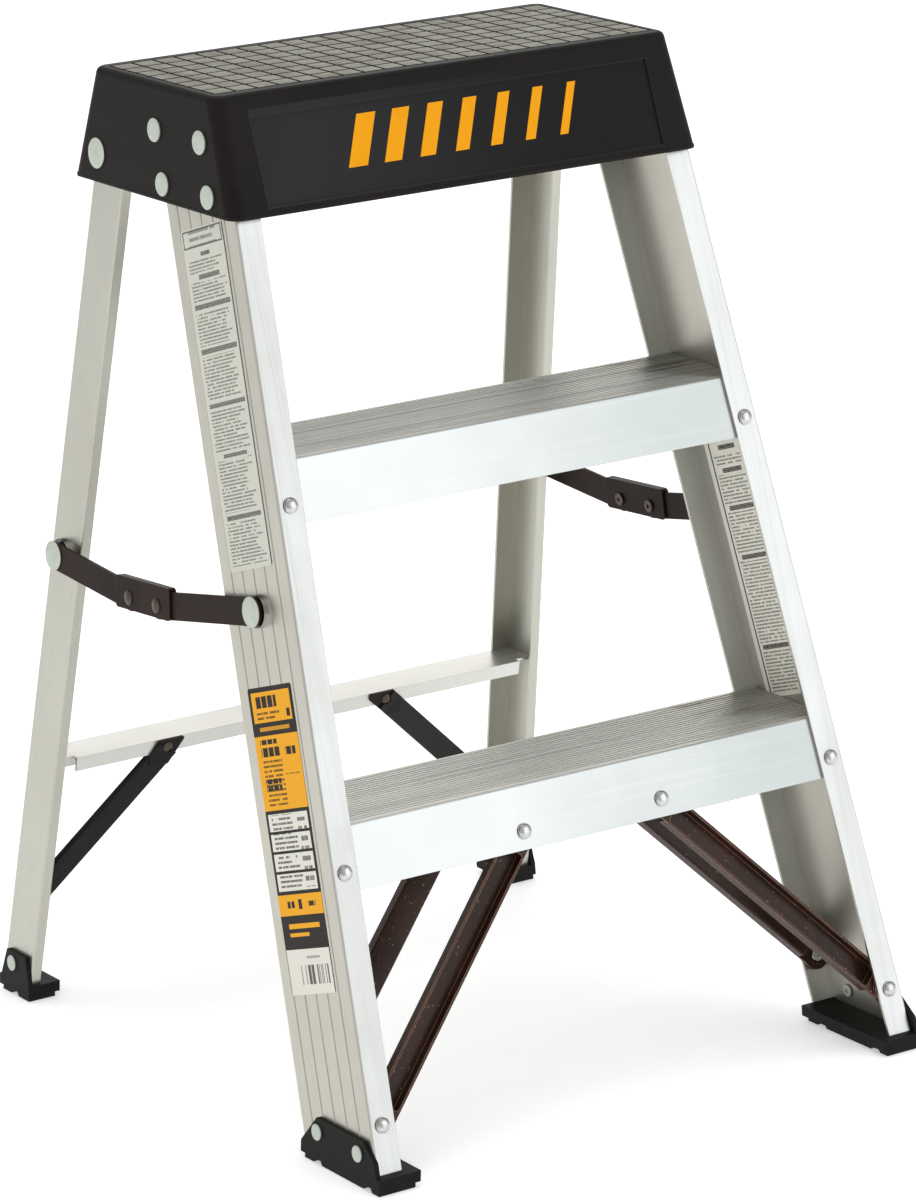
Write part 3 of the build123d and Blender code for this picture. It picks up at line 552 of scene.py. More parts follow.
@dataclass(frozen=True)
class CoatedSteel:
    """Coated pressed steel: glossy, with small chips, and corners painted brighter, partly as worn coating
    and partly as a painted highlight.
    """

    name: str
    body: Colour = (0.027, 0.0110, 0.0066)
    # Corner colour: partly worn coating, partly a painted edge highlight.
    corner: Colour = (0.55, 0.30, 0.21)
    rough: float = 0.24
    wear_and_highlight: float = 0.9
    chips: float = 0.8
    shine: float = 0.22
    # Half width of the corner band, which is partly wear and partly painted highlight.
    worn_band: float = 0.9 * MM
    peel_depth: float = 0.05 * MM
    softness: float = 0.5 * MM

    def material(self) -> bpy.types.Material:
        """Build the material.

        Returns:
            The finished material.
        """
        shader = Shader(self.name)
        x, y, z = shader.place()
        where = shader.join(x, y, z)
        clouds = shader.noise(where, 26.0, 4.0, 0.6)
        ragged = shader.noise(where, 420.0, 4.0, 0.7)
        # Corner band: partly worn coating, partly a painted highlight along the edges.
        corner = shader.corners(self.worn_band) * (ragged * 0.6 + 0.6) * self.wear_and_highlight
        chips = shader.noise(where, 640.0, 2.0, 0.5).ease(0.70, 0.735) * self.chips
        colour = shader.mix(clouds.ease(0.35, 0.75), self.body, toned(self.body, 1.9))
        colour = shader.mix(corner, colour, self.corner)
        colour = shader.mix(chips, colour, self.corner)
        peel = shader.noise(where, 330.0, 2.0)
        normal = shader.bump(peel, self.peel_depth, shader.rounded(self.softness))
        rough = self.rough + clouds * 0.12 + chips * 0.2
        metal = chips.either(corner) * 0.7
        return shader.surface(
            Base_Color=colour, Metallic=metal, Roughness=rough, Normal=normal, Specular_IOR_Level=self.shine
        )


@dataclass(frozen=True)
class FootPlastic:
    """Black moulded feet with a soft grain and dusty corners."""

    body: Colour = (0.0042, 0.0039, 0.0036)
    dust: Colour = (0.036, 0.033, 0.029)
    dust_height: float = 3.5 * MM
    worn_band: float = 0.8 * MM
    grain_depth: float = 0.07 * MM
    corner: float = 0.6 * MM

    def material(self) -> bpy.types.Material:
        """Build the material.

        Returns:
            The finished material.
        """
        shader = Shader("foot_plastic")
        x, y, z = shader.place()
        where = shader.join(x, y, z)
        clouds = shader.noise(where, 60.0, 5.0, 0.65)
        grain = shader.noise(where, 1300.0, 2.0, 0.7)
        colour = shader.mix(clouds.ease(0.45, 0.75) * 0.25, self.body, self.dust)
        colour = shader.mix(shader.corners(self.worn_band) * 0.6, colour, self.dust)
        colour = shader.mix((1.0 - z.ease(0.0, self.dust_height)) * clouds * 0.5, colour, self.dust)
        normal = shader.bump(grain, self.grain_depth, shader.rounded(self.corner))
        return shader.surface(
            Base_Color=colour, Roughness=0.42 + clouds * 0.2, Normal=normal, Specular_IOR_Level=0.14
        )


@dataclass(frozen=True)
class RivetMetal:
    """A rivet's metal, bright or dull, with a painted dark shade ring round its head's rim."""

    name: str
    body: Colour
    shade: Colour
    metal: float
    rough: float
    axis: int = X_AXIS
    # How strongly the painted dark shade ring shows at the head's rim.
    rim: float = 0.0
    mark_depth: float = 0.03 * MM

    def material(self) -> bpy.types.Material:
        """Build the material.

        Returns:
            The finished material.
        """
        shader = Shader(self.name)
        where = shader.join(*shader.place())
        clouds = shader.noise(where, 260.0, 4.0, 0.6)
        marks = shader.noise(where, 1500.0, 3.0, 0.6)
        colour = shader.mix(clouds.ease(0.40, 0.75) * 0.5, self.body, self.shade)
        colour = shader.mix(marks.ease(0.62, 0.78) * 0.35, colour, self.shade)
        # Painted shade: a dark ring where the head's surface turns away from its axis.
        edge = 1.0 - abs(shader.facing(self.axis)).ease(0.30, 0.75)
        colour = shader.mix(edge * self.rim, colour, toned(self.shade, 0.08))
        normal = shader.bump(marks, self.mark_depth)
        rough = self.rough + clouds * 0.12
        return shader.surface(Base_Color=colour, Metallic=self.metal, Roughness=rough, Normal=normal)


# ------------------------------------------------------------------ printed labels
PAPER_DEPTH = 0.02 * MM


@dataclass(frozen=True)
class Block:
    """A printed rectangle on a label: shares of its width and of its length from the top."""

    left: float
    right: float
    top: float
    bottom: float

    def mask(self, across: Signal, down: Signal, grow: float = 0.0) -> Signal:
        """One inside the rectangle.

        Args:
            across: Share of the label's width.
            down: Share of its length from the top.
            grow: How far the mask reaches past the top and bottom.

        Returns:
            The mask.
        """
        sides = (across > self.left) * (across < self.right)
        return sides * (down > self.top - grow) * (down < self.bottom + grow)


@dataclass(frozen=True)
class Print:
    """Plain marks that stand for lines of small print."""

    rows: float
    left: float = 0.08
    right: float = 0.92
    words: float = 16.0
    seed: float = 3.0
    ragged: float = 0.3
    line_top: float = 0.22
    line_bottom: float = 0.70
    letters: float = 6.0
    letter_gaps: float = 0.38
    word_gaps: float = 0.32

    def mask(self, across: Signal, down: Signal) -> Signal:
        """One on the marks.

        Args:
            across: Share of the label's width.
            down: Share of its length from the top.

        Returns:
            The mask.
        """
        shader = across.shader
        row = (down * self.rows).floor()
        within = (down * self.rows).fract()
        line = (within > self.line_top) * (within < self.line_bottom)
        end = self.right - shader.chance(row + self.seed) * (self.right - self.left) * self.ragged
        inside = (across > self.left) * (across < end)
        fine = shader.join(across * self.words * self.letters, row * 7.3 + self.seed)
        coarse = shader.join(across * self.words, row * 3.1 + self.seed)
        letters = shader.noise(fine, 1.0, 1.0)
        words = shader.noise(coarse, 1.0, 0.0)
        return line * inside * (letters > self.letter_gaps) * (words > self.word_gaps)


def blocks_mask(blocks: Iterable[Block], across: Signal, down: Signal, grow: float = 0.0) -> Signal:
    """One inside any of several rectangles.

    Args:
        blocks: The rectangles.
        across: Share of the label's width.
        down: Share of its length from the top.
        grow: How far each mask reaches past its top and bottom.

    Returns:
        The joined mask.
    """
    masks = [block.mask(across, down, grow) for block in blocks]
    joined = masks[0]
    for mask in masks[1:]:
        joined = joined.either(mask)
    return joined


@dataclass(frozen=True)
class NoticePaper:
    """Pale paper with rows of small marks between darker heading bars."""

    name: str
    rows: float
    headings: tuple[Block, ...]
    paper: Colour = (0.68, 0.69, 0.60)
    ink: Colour = (0.085, 0.083, 0.078)
    heading: Colour = (0.12, 0.118, 0.108)
    edge: Colour = (0.10, 0.10, 0.11)
    edge_from: float = 0.98
    edge_to: float = 1.01
    text_left: float = 0.08
    frame_block: Block | None = None
    frame_side: float = 0.022
    frame_end: float = 0.0045
    heading_print: Print = Print(46.0, 0.16, 0.95, 11.0, 5.0)
    printed: tuple[float, float] = (0.07, 0.985)

    def material(self) -> bpy.types.Material:
        """Build the material.

        Returns:
            The finished material.
        """
        shader = Shader(self.name)
        across, down = shader.paper()
        where = shader.join(*shader.place())
        fibre = shader.noise(where, 700.0, 3.0)
        colour = shader.mix(fibre * 0.25, self.paper, toned(self.paper, 0.86))
        gaps = blocks_mask(self.headings, across, down, 0.008)
        wide = tuple(Block(0.0, 1.0, b.top, b.bottom) for b in self.headings)
        gaps = gaps.either(blocks_mask(wide, across, down, 0.006))
        marks = Print(self.rows, self.text_left).mask(across, down) * (1.0 - gaps)
        marks = marks * (down > self.printed[0]) * (down < self.printed[1])
        colour = shader.mix(marks * 0.72, colour, self.ink)
        bars = blocks_mask(self.headings, across, down)
        cut = Print(self.rows * 2.0, 0.0, 1.6, 26.0, 11.0).mask(across, down)
        colour = shader.mix(bars * (1.0 - cut * 0.35), colour, self.heading)
        if self.frame_block is not None:
            outer = self.frame_block.mask(across, down)
            inner = Block(
                self.frame_block.left + self.frame_side,
                self.frame_block.right - self.frame_side,
                self.frame_block.top + self.frame_end,
                self.frame_block.bottom - self.frame_end,
            ).mask(across, down)
            colour = shader.mix(outer * (1.0 - inner), colour, self.heading)
            title = self.heading_print.mask(across, down)
            colour = shader.mix(title * inner * 0.7, colour, self.heading)
        edge = (across > self.edge_from) * (across < self.edge_to)
        colour = shader.mix(edge, colour, self.edge)
        normal = shader.bump(fibre, PAPER_DEPTH)
        return shader.surface(Base_Color=colour, Roughness=0.42, Normal=normal, Specular_IOR_Level=0.2)


@dataclass(frozen=True)
class SizePaper:
    """The size label: amber and black panels, ruled rows and a bar pattern, without words."""

    amber: Colour = (0.92, 0.42, 0.004)
    black: Colour = (0.013, 0.010, 0.007)
    paper: Colour = (0.80, 0.79, 0.71)
    amber_blocks: tuple[Block, ...] = (
        Block(0.06, 0.94, 0.016, 0.115),
        Block(0.0, 1.0, 0.158, 0.400),
        Block(0.0, 1.0, 0.675, 0.743),
    )
    row_blocks: tuple[Block, ...] = (
        Block(0.05, 0.95, 0.412, 0.468),
        Block(0.05, 0.95, 0.477, 0.533),
        Block(0.05, 0.95, 0.542, 0.598),
        Block(0.05, 0.95, 0.607, 0.663),
        Block(0.0, 1.0, 0.853, 1.0),
    )
    dark_blocks: tuple[Block, ...] = (
        Block(0.14, 0.62, 0.030, 0.068),
        Block(0.80, 0.90, 0.078, 0.104),
        Block(0.12, 0.50, 0.170, 0.186),
        Block(0.12, 0.54, 0.196, 0.226),
        Block(0.66, 0.90, 0.200, 0.226),
        Block(0.12, 0.48, 0.298, 0.314),
        Block(0.12, 0.48, 0.320, 0.336),
        Block(0.60, 0.95, 0.286, 0.2885),
        Block(0.20, 0.36, 0.697, 0.719),
        Block(0.45, 0.53, 0.692, 0.724),
        Block(0.66, 0.84, 0.700, 0.716),
    )
    pale_marks: tuple[Block, ...] = (Block(0.16, 0.84, 0.130, 0.143),)
    amber_marks: tuple[Block, ...] = (
        Block(0.16, 0.86, 0.770, 0.786),
        Block(0.16, 0.60, 0.800, 0.812),
    )
    row_text: Block = Block(0.1, 0.66, 0.415, 0.66)
    amber_text: Block = Block(0.12, 0.56, 0.236, 0.385)
    upper_text: Block = Block(0.14, 0.74, 0.078, 0.105)
    row_values: Block = Block(0.7, 0.9, 0.43, 0.655)
    bar_block: Block = Block(0.28, 0.95, 0.905, 0.968)
    bar_caption: Block = Block(0.46, 0.76, 0.876, 0.884)
    bar_places: float = 64.0
    letter_places: float = 7.5
    small_print: Print = Print(64.0, 0.12, 0.68, 13.0, 7.0)
    value_print: Print = Print(31.0, 0.70, 0.95, 22.0, 2.0)

    def material(self) -> bpy.types.Material:
        """Build the material.

        Returns:
            The finished material.
        """
        shader = Shader("size_paper")
        across, down = shader.paper()
        where = shader.join(*shader.place())
        fibre = shader.noise(where, 700.0, 3.0)
        colour = shader.mix(fibre * 0.3, self.black, toned(self.black, 1.6))
        colour = shader.mix(blocks_mask(self.amber_blocks, across, down), colour, self.amber)
        rows = blocks_mask(self.row_blocks, across, down)
        colour = shader.mix(rows, colour, self.paper)
        worn = shader.noise(where, 900.0, 3.0, 0.7) > 0.66
        dark = blocks_mask(self.dark_blocks, across, down) * (1.0 - worn * 0.45)
        dark = dark * ((across * self.letter_places).fract() > 0.16)
        colour = shader.mix(dark, colour, self.black)
        colour = shader.mix(blocks_mask(self.pale_marks, across, down) * 0.7, colour, self.amber)
        colour = shader.mix(blocks_mask(self.amber_marks, across, down), colour, self.amber)
        small = self.small_print.mask(across, down)
        in_rows = self.row_text.mask(across, down) * rows
        in_amber = self.amber_text.mask(across, down) * (1.0 - dark)
        under = self.upper_text.mask(across, down)
        colour = shader.mix(small * in_rows.either(in_amber).either(under) * 0.8, colour, self.black)
        values = self.value_print.mask(across, down) * self.row_values.mask(across, down)
        colour = shader.mix(values * 0.8, colour, self.black)
        chance = shader.chance((across * self.bar_places).floor())
        bars = (chance > 0.42) * self.bar_block.mask(across, down)
        colour = shader.mix(bars * 0.85, colour, self.black)
        caption = self.bar_caption.mask(across, down) * (1.0 - worn)
        colour = shader.mix(caption * 0.5, colour, self.black)
        edge = (across < 0.012).either(across > 0.988) * (down > 0.853)
        colour = shader.mix(edge, colour, self.black)
        normal = shader.bump(fibre, PAPER_DEPTH)
        return shader.surface(Base_Color=colour, Roughness=0.40, Normal=normal, Specular_IOR_Level=0.15)


@dataclass(frozen=True)
class DecalInk:
    """Flat amber decal with a soft sheen and faint wear."""

    body: Colour = (0.93, 0.38, 0.002)
    shade: Colour = (0.78, 0.30, 0.002)

    def material(self) -> bpy.types.Material:
        """Build the material.

        Returns:
            The finished material.
        """
        shader = Shader("decal_ink")
        where = shader.join(*shader.place())
        clouds = shader.noise(where, 120.0, 4.0, 0.6)
        colour = shader.mix(clouds.ease(0.45, 0.85) * 0.4, self.body, self.shade)
        normal = shader.bump(shader.noise(where, 1200.0), PAPER_DEPTH)
        return shader.surface(
            Base_Color=colour, Roughness=0.40 + clouds * 0.1, Normal=normal, Specular_IOR_Level=0.12
        )


# ------------------------------------------------------------------ piece making
UPWARDS = Vector((0.0, 0.0, 1.0))
SMOOTH_ANGLE = math.radians(35)
SAME_PLACE = 1e-6


def piece(
    name: str, bm: bmesh.types.BMesh, finish: bpy.types.Material, smooth: bool = True
) -> bpy.types.Object:
    """Turn a bmesh into a finished object at the origin.

    Args:
        name: The object's name.
        bm: The mesh, which is freed.
        finish: Its material.
        smooth: Whether its gentle corners are shaded smooth.

    Returns:
        The object.
    """
    bmesh.ops.recalc_face_normals(bm, faces=bm.faces)
    if smooth:
        for face in bm.faces:
            face.smooth = True
        for edge in bm.edges:
            edge.smooth = edge.calc_face_angle(0.0) < SMOOTH_ANGLE
    gaps = sum(1 for edge in bm.edges if not edge.is_manifold)
    mesh = bpy.data.meshes.new(name)
    bm.to_mesh(mesh)
    bm.free()
    mesh.materials.append(finish)
    made = bpy.data.objects.new(name, mesh)
    bpy.context.scene.collection.objects.link(made)
    LOG.info("%s: %d faces, %d open edges", name, len(mesh.polygons), gaps)
    return made


def mounted(made: bpy.types.Object, body: str) -> bpy.types.Object:
    """Fix a piece to a body.

    Args:
        made: The piece.
        body: The body that it rides on.

    Returns:
        The same piece.
    """
    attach(made, body)
    return made


def frame_at(origin: Vector, out: Vector, up: Vector) -> Matrix:
    """A placing matrix: local z points out, local y follows up.

    Args:
        origin: Where the local origin goes.
        out: The outward direction.
        up: The direction that local y leans to.

    Returns:
        The matrix.
    """
    z_axis = out.normalized()
    x_axis = up.cross(z_axis).normalized()
    y_axis = z_axis.cross(x_axis)
    turn = Matrix((x_axis, y_axis, z_axis)).transposed().to_4x4()
    return Matrix.Translation(origin) @ turn


def spun(bm: bmesh.types.BMesh, profile: Sequence[tuple[float, float]], place: Matrix, steps: int) -> None:
    """Spin a profile into a closed round shape, and tag its corners as placed.

    Args:
        bm: The mesh that receives it.
        profile: Radius and height of each point, from the axis out and back.
        place: Where it goes.
        steps: How many sides it has.
    """
    verts = [bm.verts.new((radius, 0.0, height)) for radius, height in profile]
    edges = [bm.edges.new(pair) for pair in zip(verts, verts[1:])]
    bmesh.ops.spin(
        bm,
        geom=[*verts, *edges],
        cent=(0, 0, 0),
        axis=(0, 0, 1),
        angle=2 * math.pi,
        steps=steps,
        use_merge=True,
    )
    fresh = [v for v in bm.verts if not v.tag]
    bmesh.ops.remove_doubles(bm, verts=fresh, dist=SAME_PLACE)
    fresh = [v for v in bm.verts if not v.tag]
    bmesh.ops.transform(bm, matrix=place, verts=fresh)
    for vert in fresh:
        vert.tag = True


def solids(node: str) -> list[list[Vector]]:
    """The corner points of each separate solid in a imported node.

    Args:
        node: The node's name.

    Returns:
        One list of points for each solid.
    """
    bm = bmesh.new()
    bm.from_mesh(frame["nodes"][node].data)
    bmesh.ops.remove_doubles(bm, verts=bm.verts, dist=SAME_PLACE)
    found = []
    waiting = set(bm.verts)
    while waiting:
        stack = [waiting.pop()]
        points = []
        while stack:
            vert = stack.pop()
            points.append(vert.co.copy())
            for edge in vert.link_edges:
                other = edge.other_vert(vert)
                if other in waiting:
                    waiting.remove(other)
                    stack.append(other)
        found.append(points)
    bm.free()
    return sorted(found, key=lambda points: tuple(round(part, 4) for part in points[0].xzy))


def head_place(points: Sequence[Vector], out: Vector) -> tuple[Vector, float]:
    """Where a rivet's head sits and how wide it is.

    Args:
        points: The rivet's corner points.
        out: The direction that its head faces.

    Returns:
        The middle of the head's foot, and its radius.
    """
    middle = middle_of(points)
    lifts = [(p - middle).dot(out) for p in points]
    radii = [((p - middle) - out * lift).length for p, lift in zip(points, lifts)]
    widest = max(radii)
    rim = [p for p, r in zip(points, radii) if r > widest - 0.3 * MM]
    centre = middle_of(rim)
    low = min((p - centre).dot(out) for p in rim)
    return centre + out * low, widest


def trimmed(node: str, cuts: Sequence[tuple[Vector, Vector]]) -> bmesh.types.BMesh:
    """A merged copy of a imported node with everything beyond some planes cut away.

    Args:
        node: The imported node.
        cuts: A point on each plane, and its outward direction.

    Returns:
        The closed copy.
    """
    bm = bmesh.new()
    bm.from_mesh(frame["nodes"][node].data)
    bmesh.ops.remove_doubles(bm, verts=bm.verts, dist=SAME_PLACE)
    for point, outward in cuts:
        geom = [*bm.verts, *bm.edges, *bm.faces]
        bmesh.ops.bisect_plane(bm, geom=geom, dist=1e-7, plane_co=point, plane_no=outward, clear_outer=True)
        bmesh.ops.holes_fill(bm, edges=[e for e in bm.edges if e.is_boundary])
    return bm


# ------------------------------------------------------------------ sub-assemblies
class Finishes:
    """Every finish of the ladder, built once."""

    def __init__(self) -> None:
        """Build the materials."""
        self.cap = CapPlastic().material()
        self.grip = GripRubber().material()
        # The rail's flange colour is painted light on its front-facing faces.
        self.rail = Aluminium(
            "rail_aluminium", flange=(0.65, 0.66, 0.65), lean=FRONT_RAILS.lean
        ).material()
        self.rear_rail = Aluminium(
            "rear_rail_aluminium", body=(0.52, 0.515, 0.455), stain=(0.40, 0.385, 0.33), lean=-0.196
        ).material()
        self.crossbar = Aluminium(
            "crossbar_aluminium",
            body=(0.68, 0.675, 0.64),
            stain=(0.54, 0.52, 0.47),
            lean=0.0,
            along_x=True,
        ).material()
        self.step = TreadAluminium().material()
        self.brace = CoatedSteel("brace_steel").material()
        self.rear_brace = CoatedSteel(
            "rear_brace_steel",
            body=(0.0075, 0.0062, 0.0058),
            corner=(0.06, 0.05, 0.045),
            rough=0.34,
            wear_and_highlight=0.5,
            chips=0.3,
            shine=0.16,
        ).material()
        self.spreader = CoatedSteel(
            "spreader_steel",
            body=(0.0125, 0.0060, 0.0040),
            corner=(0.10, 0.06, 0.045),
            rough=0.36,
            wear_and_highlight=0.5,
            chips=0.3,
            shine=0.10,
        ).material()
        self.foot = FootPlastic().material()
        self.bright = RivetMetal(
            "bright_rivet",
            body=(0.62, 0.62, 0.61),
            shade=(0.38, 0.37, 0.35),
            metal=1.0,
            rough=0.17,
            axis=Y_AXIS,
            rim=0.85,
        ).material()
        self.pale = RivetMetal(
            "pale_rivet",
            body=(0.56, 0.61, 0.54),
            shade=(0.44, 0.48, 0.42),
            metal=0.15,
            rough=0.42,
            axis=X_AXIS,
            rim=0.9,
        ).material()
        self.dark = RivetMetal(
            "dark_rivet", body=(0.090, 0.070, 0.055), shade=(0.022, 0.016, 0.012), metal=0.8, rough=0.30
        ).material()
        self.decal = DecalInk().material()

    def by_node(self) -> dict[str, bpy.types.Material]:
        """The finishes of the nodes that differ from their slot's."""
        return {
            "rear_crossbar": self.crossbar,
            "left_rear_rail": self.rear_rail,
            "right_rear_rail": self.rear_rail,
            "rear_brace_rivets": self.dark,
            "left_link_rivets": self.dark,
            "right_link_rivets": self.dark,
        }

    def by_slot(self) -> dict[str, bpy.types.Material]:
        """The finish of each of the record's material slots."""
        return {
            "cap_plastic": self.cap,
            "rail_aluminium": self.rail,
            "step_aluminium": self.step,
            "brace_steel": self.brace,
            "rear_brace_steel": self.rear_brace,
            "spreader_steel": self.spreader,
            "foot_plastic": self.foot,
            "bright_rivet": self.bright,
            "pale_rivet": self.pale,
        }


@dataclass
class PackedParts:
    """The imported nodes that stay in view, in better finishes."""

    finishes: Finishes

    def dress(self) -> None:
        """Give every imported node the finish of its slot, or its own."""
        slots = self.finishes.by_slot()
        special = self.finishes.by_node()
        for entry in frame["record"]["subparts"]:
            node = frame["nodes"][entry["node"]]
            finish = special.get(entry["node"], slots[entry["material_slot"]])
            node.data.materials.clear()
            node.data.materials.append(finish)
            LOG.info("%s: %s", entry["node"], finish.name)


@dataclass
class TopCap:
    """The cap's own added pieces: grip pads, bottom bead and the sign's decal."""

    finishes: Finishes
    columns: int = 21
    rows: int = 8
    pad: float = 13.0 * MM
    groove: float = 1.5 * MM
    pad_rise: float = 0.15 * MM
    pad_depth: float = 0.95 * MM
    front_to_back_top: float = 134.3 * MM
    top_setback: float = 3.2 * MM
    pad_overlap: float = 0.1 * MM
    pad_chamfer: float = 0.7 * MM
    bead_height: float = 2.0 * MM
    bead_reach: float = 0.08 * MM
    bead_wall: float = 1.2 * MM
    bead_round: float = 0.5 * MM
    corner: float = 9.0 * MM
    sign_shift: float = 5.0 * MM
    sign_rise: float = 33.5 * MM
    sign_sink: float = 1.15 * MM
    bars: int = 7
    bar_pitch: float = 24.0 * MM
    bar_width: float = 13.0 * MM
    bar_taper: float = 1.2 * MM
    bar_height: float = 30.0 * MM
    bar_slant: float = 0.42
    bar_thickness: float = 0.16 * MM

    def build(self) -> None:
        """Make the pieces."""
        self.grip_pads()
        self.bottom_bead()
        self.sign_decal()

    def top_front(self) -> float:
        """Front edge of the cap's top."""
        return FRONT_RAILS.front(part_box("top_cap")[1].z) - self.top_setback

    def top_middle(self) -> Vector:
        """Middle of the cap's top."""
        return Vector((0.0, self.top_front() + self.front_to_back_top / 2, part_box("top_cap")[1].z))

    def grip_pads(self) -> None:
        """Square pads with chamfered tops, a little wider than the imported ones."""
        bm = bmesh.new()
        middle = self.top_middle()
        pitch = self.pad + self.groove
        height = self.pad_rise + self.pad_depth
        side = self.pad + self.pad_overlap
        size = Matrix.Diagonal((side, side, height, 1.0))
        for column in range(self.columns):
            for row in range(self.rows):
                x = (column - (self.columns - 1) / 2) * pitch
                y = middle.y + (row - (self.rows - 1) / 2) * pitch
                place = Matrix.Translation((x, y, middle.z + self.pad_rise - height / 2))
                bmesh.ops.create_cube(bm, size=1.0, matrix=place @ size)
        top = middle.z + self.pad_rise
        raised = [e for e in bm.edges if max(v.co.z for v in e.verts) > top - 0.01 * MM]
        bmesh.ops.bevel(
            bm, geom=raised, offset=self.pad_chamfer, segments=2, profile=0.5, affect="EDGES", material=-1
        )
        mounted(piece("grip_pads", bm, self.finishes.grip), "front_frame")

    def bottom_bead(self) -> None:
        """A thin raised band round the cap's open edge."""
        low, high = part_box("top_cap")
        bm = bmesh.new()
        bmesh.ops.create_grid(bm, x_segments=1, y_segments=1, size=0.5)
        wide = high.x - low.x + 2 * self.bead_reach
        deep = high.y - low.y + 2 * self.bead_reach
        bmesh.ops.scale(bm, vec=(wide, deep, 1.0), verts=bm.verts)
        corners = bm.verts[:]
        bmesh.ops.bevel(
            bm, geom=corners, offset=self.corner, segments=8, profile=0.5, affect="VERTICES", material=-1
        )
        outline = bm.faces[:]
        thickness = self.bead_reach + self.bead_wall
        bmesh.ops.inset_region(
            bm, faces=outline, thickness=thickness, use_boundary=True, use_even_offset=True
        )
        bmesh.ops.delete(bm, geom=outline, context="FACES_ONLY")
        ring = bmesh.ops.extrude_face_region(bm, geom=bm.faces[:])["geom"]
        raised = [v for v in ring if isinstance(v, bmesh.types.BMVert)]
        bmesh.ops.translate(bm, vec=(0, 0, self.bead_height), verts=raised)
        bmesh.ops.recalc_face_normals(bm, faces=bm.faces)
        sharp = [e for e in bm.edges if e.calc_face_angle(0.0) > math.radians(60)]
        bmesh.ops.bevel(
            bm, geom=sharp, offset=self.bead_round, segments=3, profile=0.5, affect="EDGES", material=-1
        )
        middle = Vector((0.0, (low.y + high.y) / 2, low.z))
        bmesh.ops.translate(bm, vec=middle, verts=bm.verts)
        mounted(piece("cap_bead", bm, self.finishes.cap), "front_frame")

    def sign_decal(self) -> None:
        """A plain row of slanted amber bars on the cap's sign recess."""
        low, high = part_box("top_cap")
        tilt = (self.top_front() - low.y) / (high.z - low.z)
        out = Vector((0.0, -1.0, tilt)).normalized()
        face = Vector((self.sign_shift, low.y + tilt * self.sign_rise, low.z + self.sign_rise))
        place = frame_at(face - out * self.sign_sink, out, UPWARDS)
        bm = bmesh.new()
        for index in range(self.bars):
            width = self.bar_width - self.bar_taper * index
            x = (index - (self.bars - 1) / 2) * self.bar_pitch
            made = bmesh.ops.create_cube(bm, size=1.0)["verts"]
            bmesh.ops.scale(bm, vec=(width, self.bar_height, self.bar_thickness), verts=made)
            for vert in made:
                vert.co.x += vert.co.y * self.bar_slant
            bmesh.ops.translate(bm, vec=(x, 0.0, self.bar_thickness / 2), verts=made)
        bmesh.ops.transform(bm, matrix=place, verts=bm.verts)
        mounted(piece("sign_decal", bm, self.finishes.decal), "front_frame")


@dataclass(frozen=True)
class LabelPlace:
    """Where a label is on a rail: edges behind its front face and heights, in millimetres."""

    side: Side
    outside: bool
    offsets: tuple[float, float]
    heights: tuple[float, float]


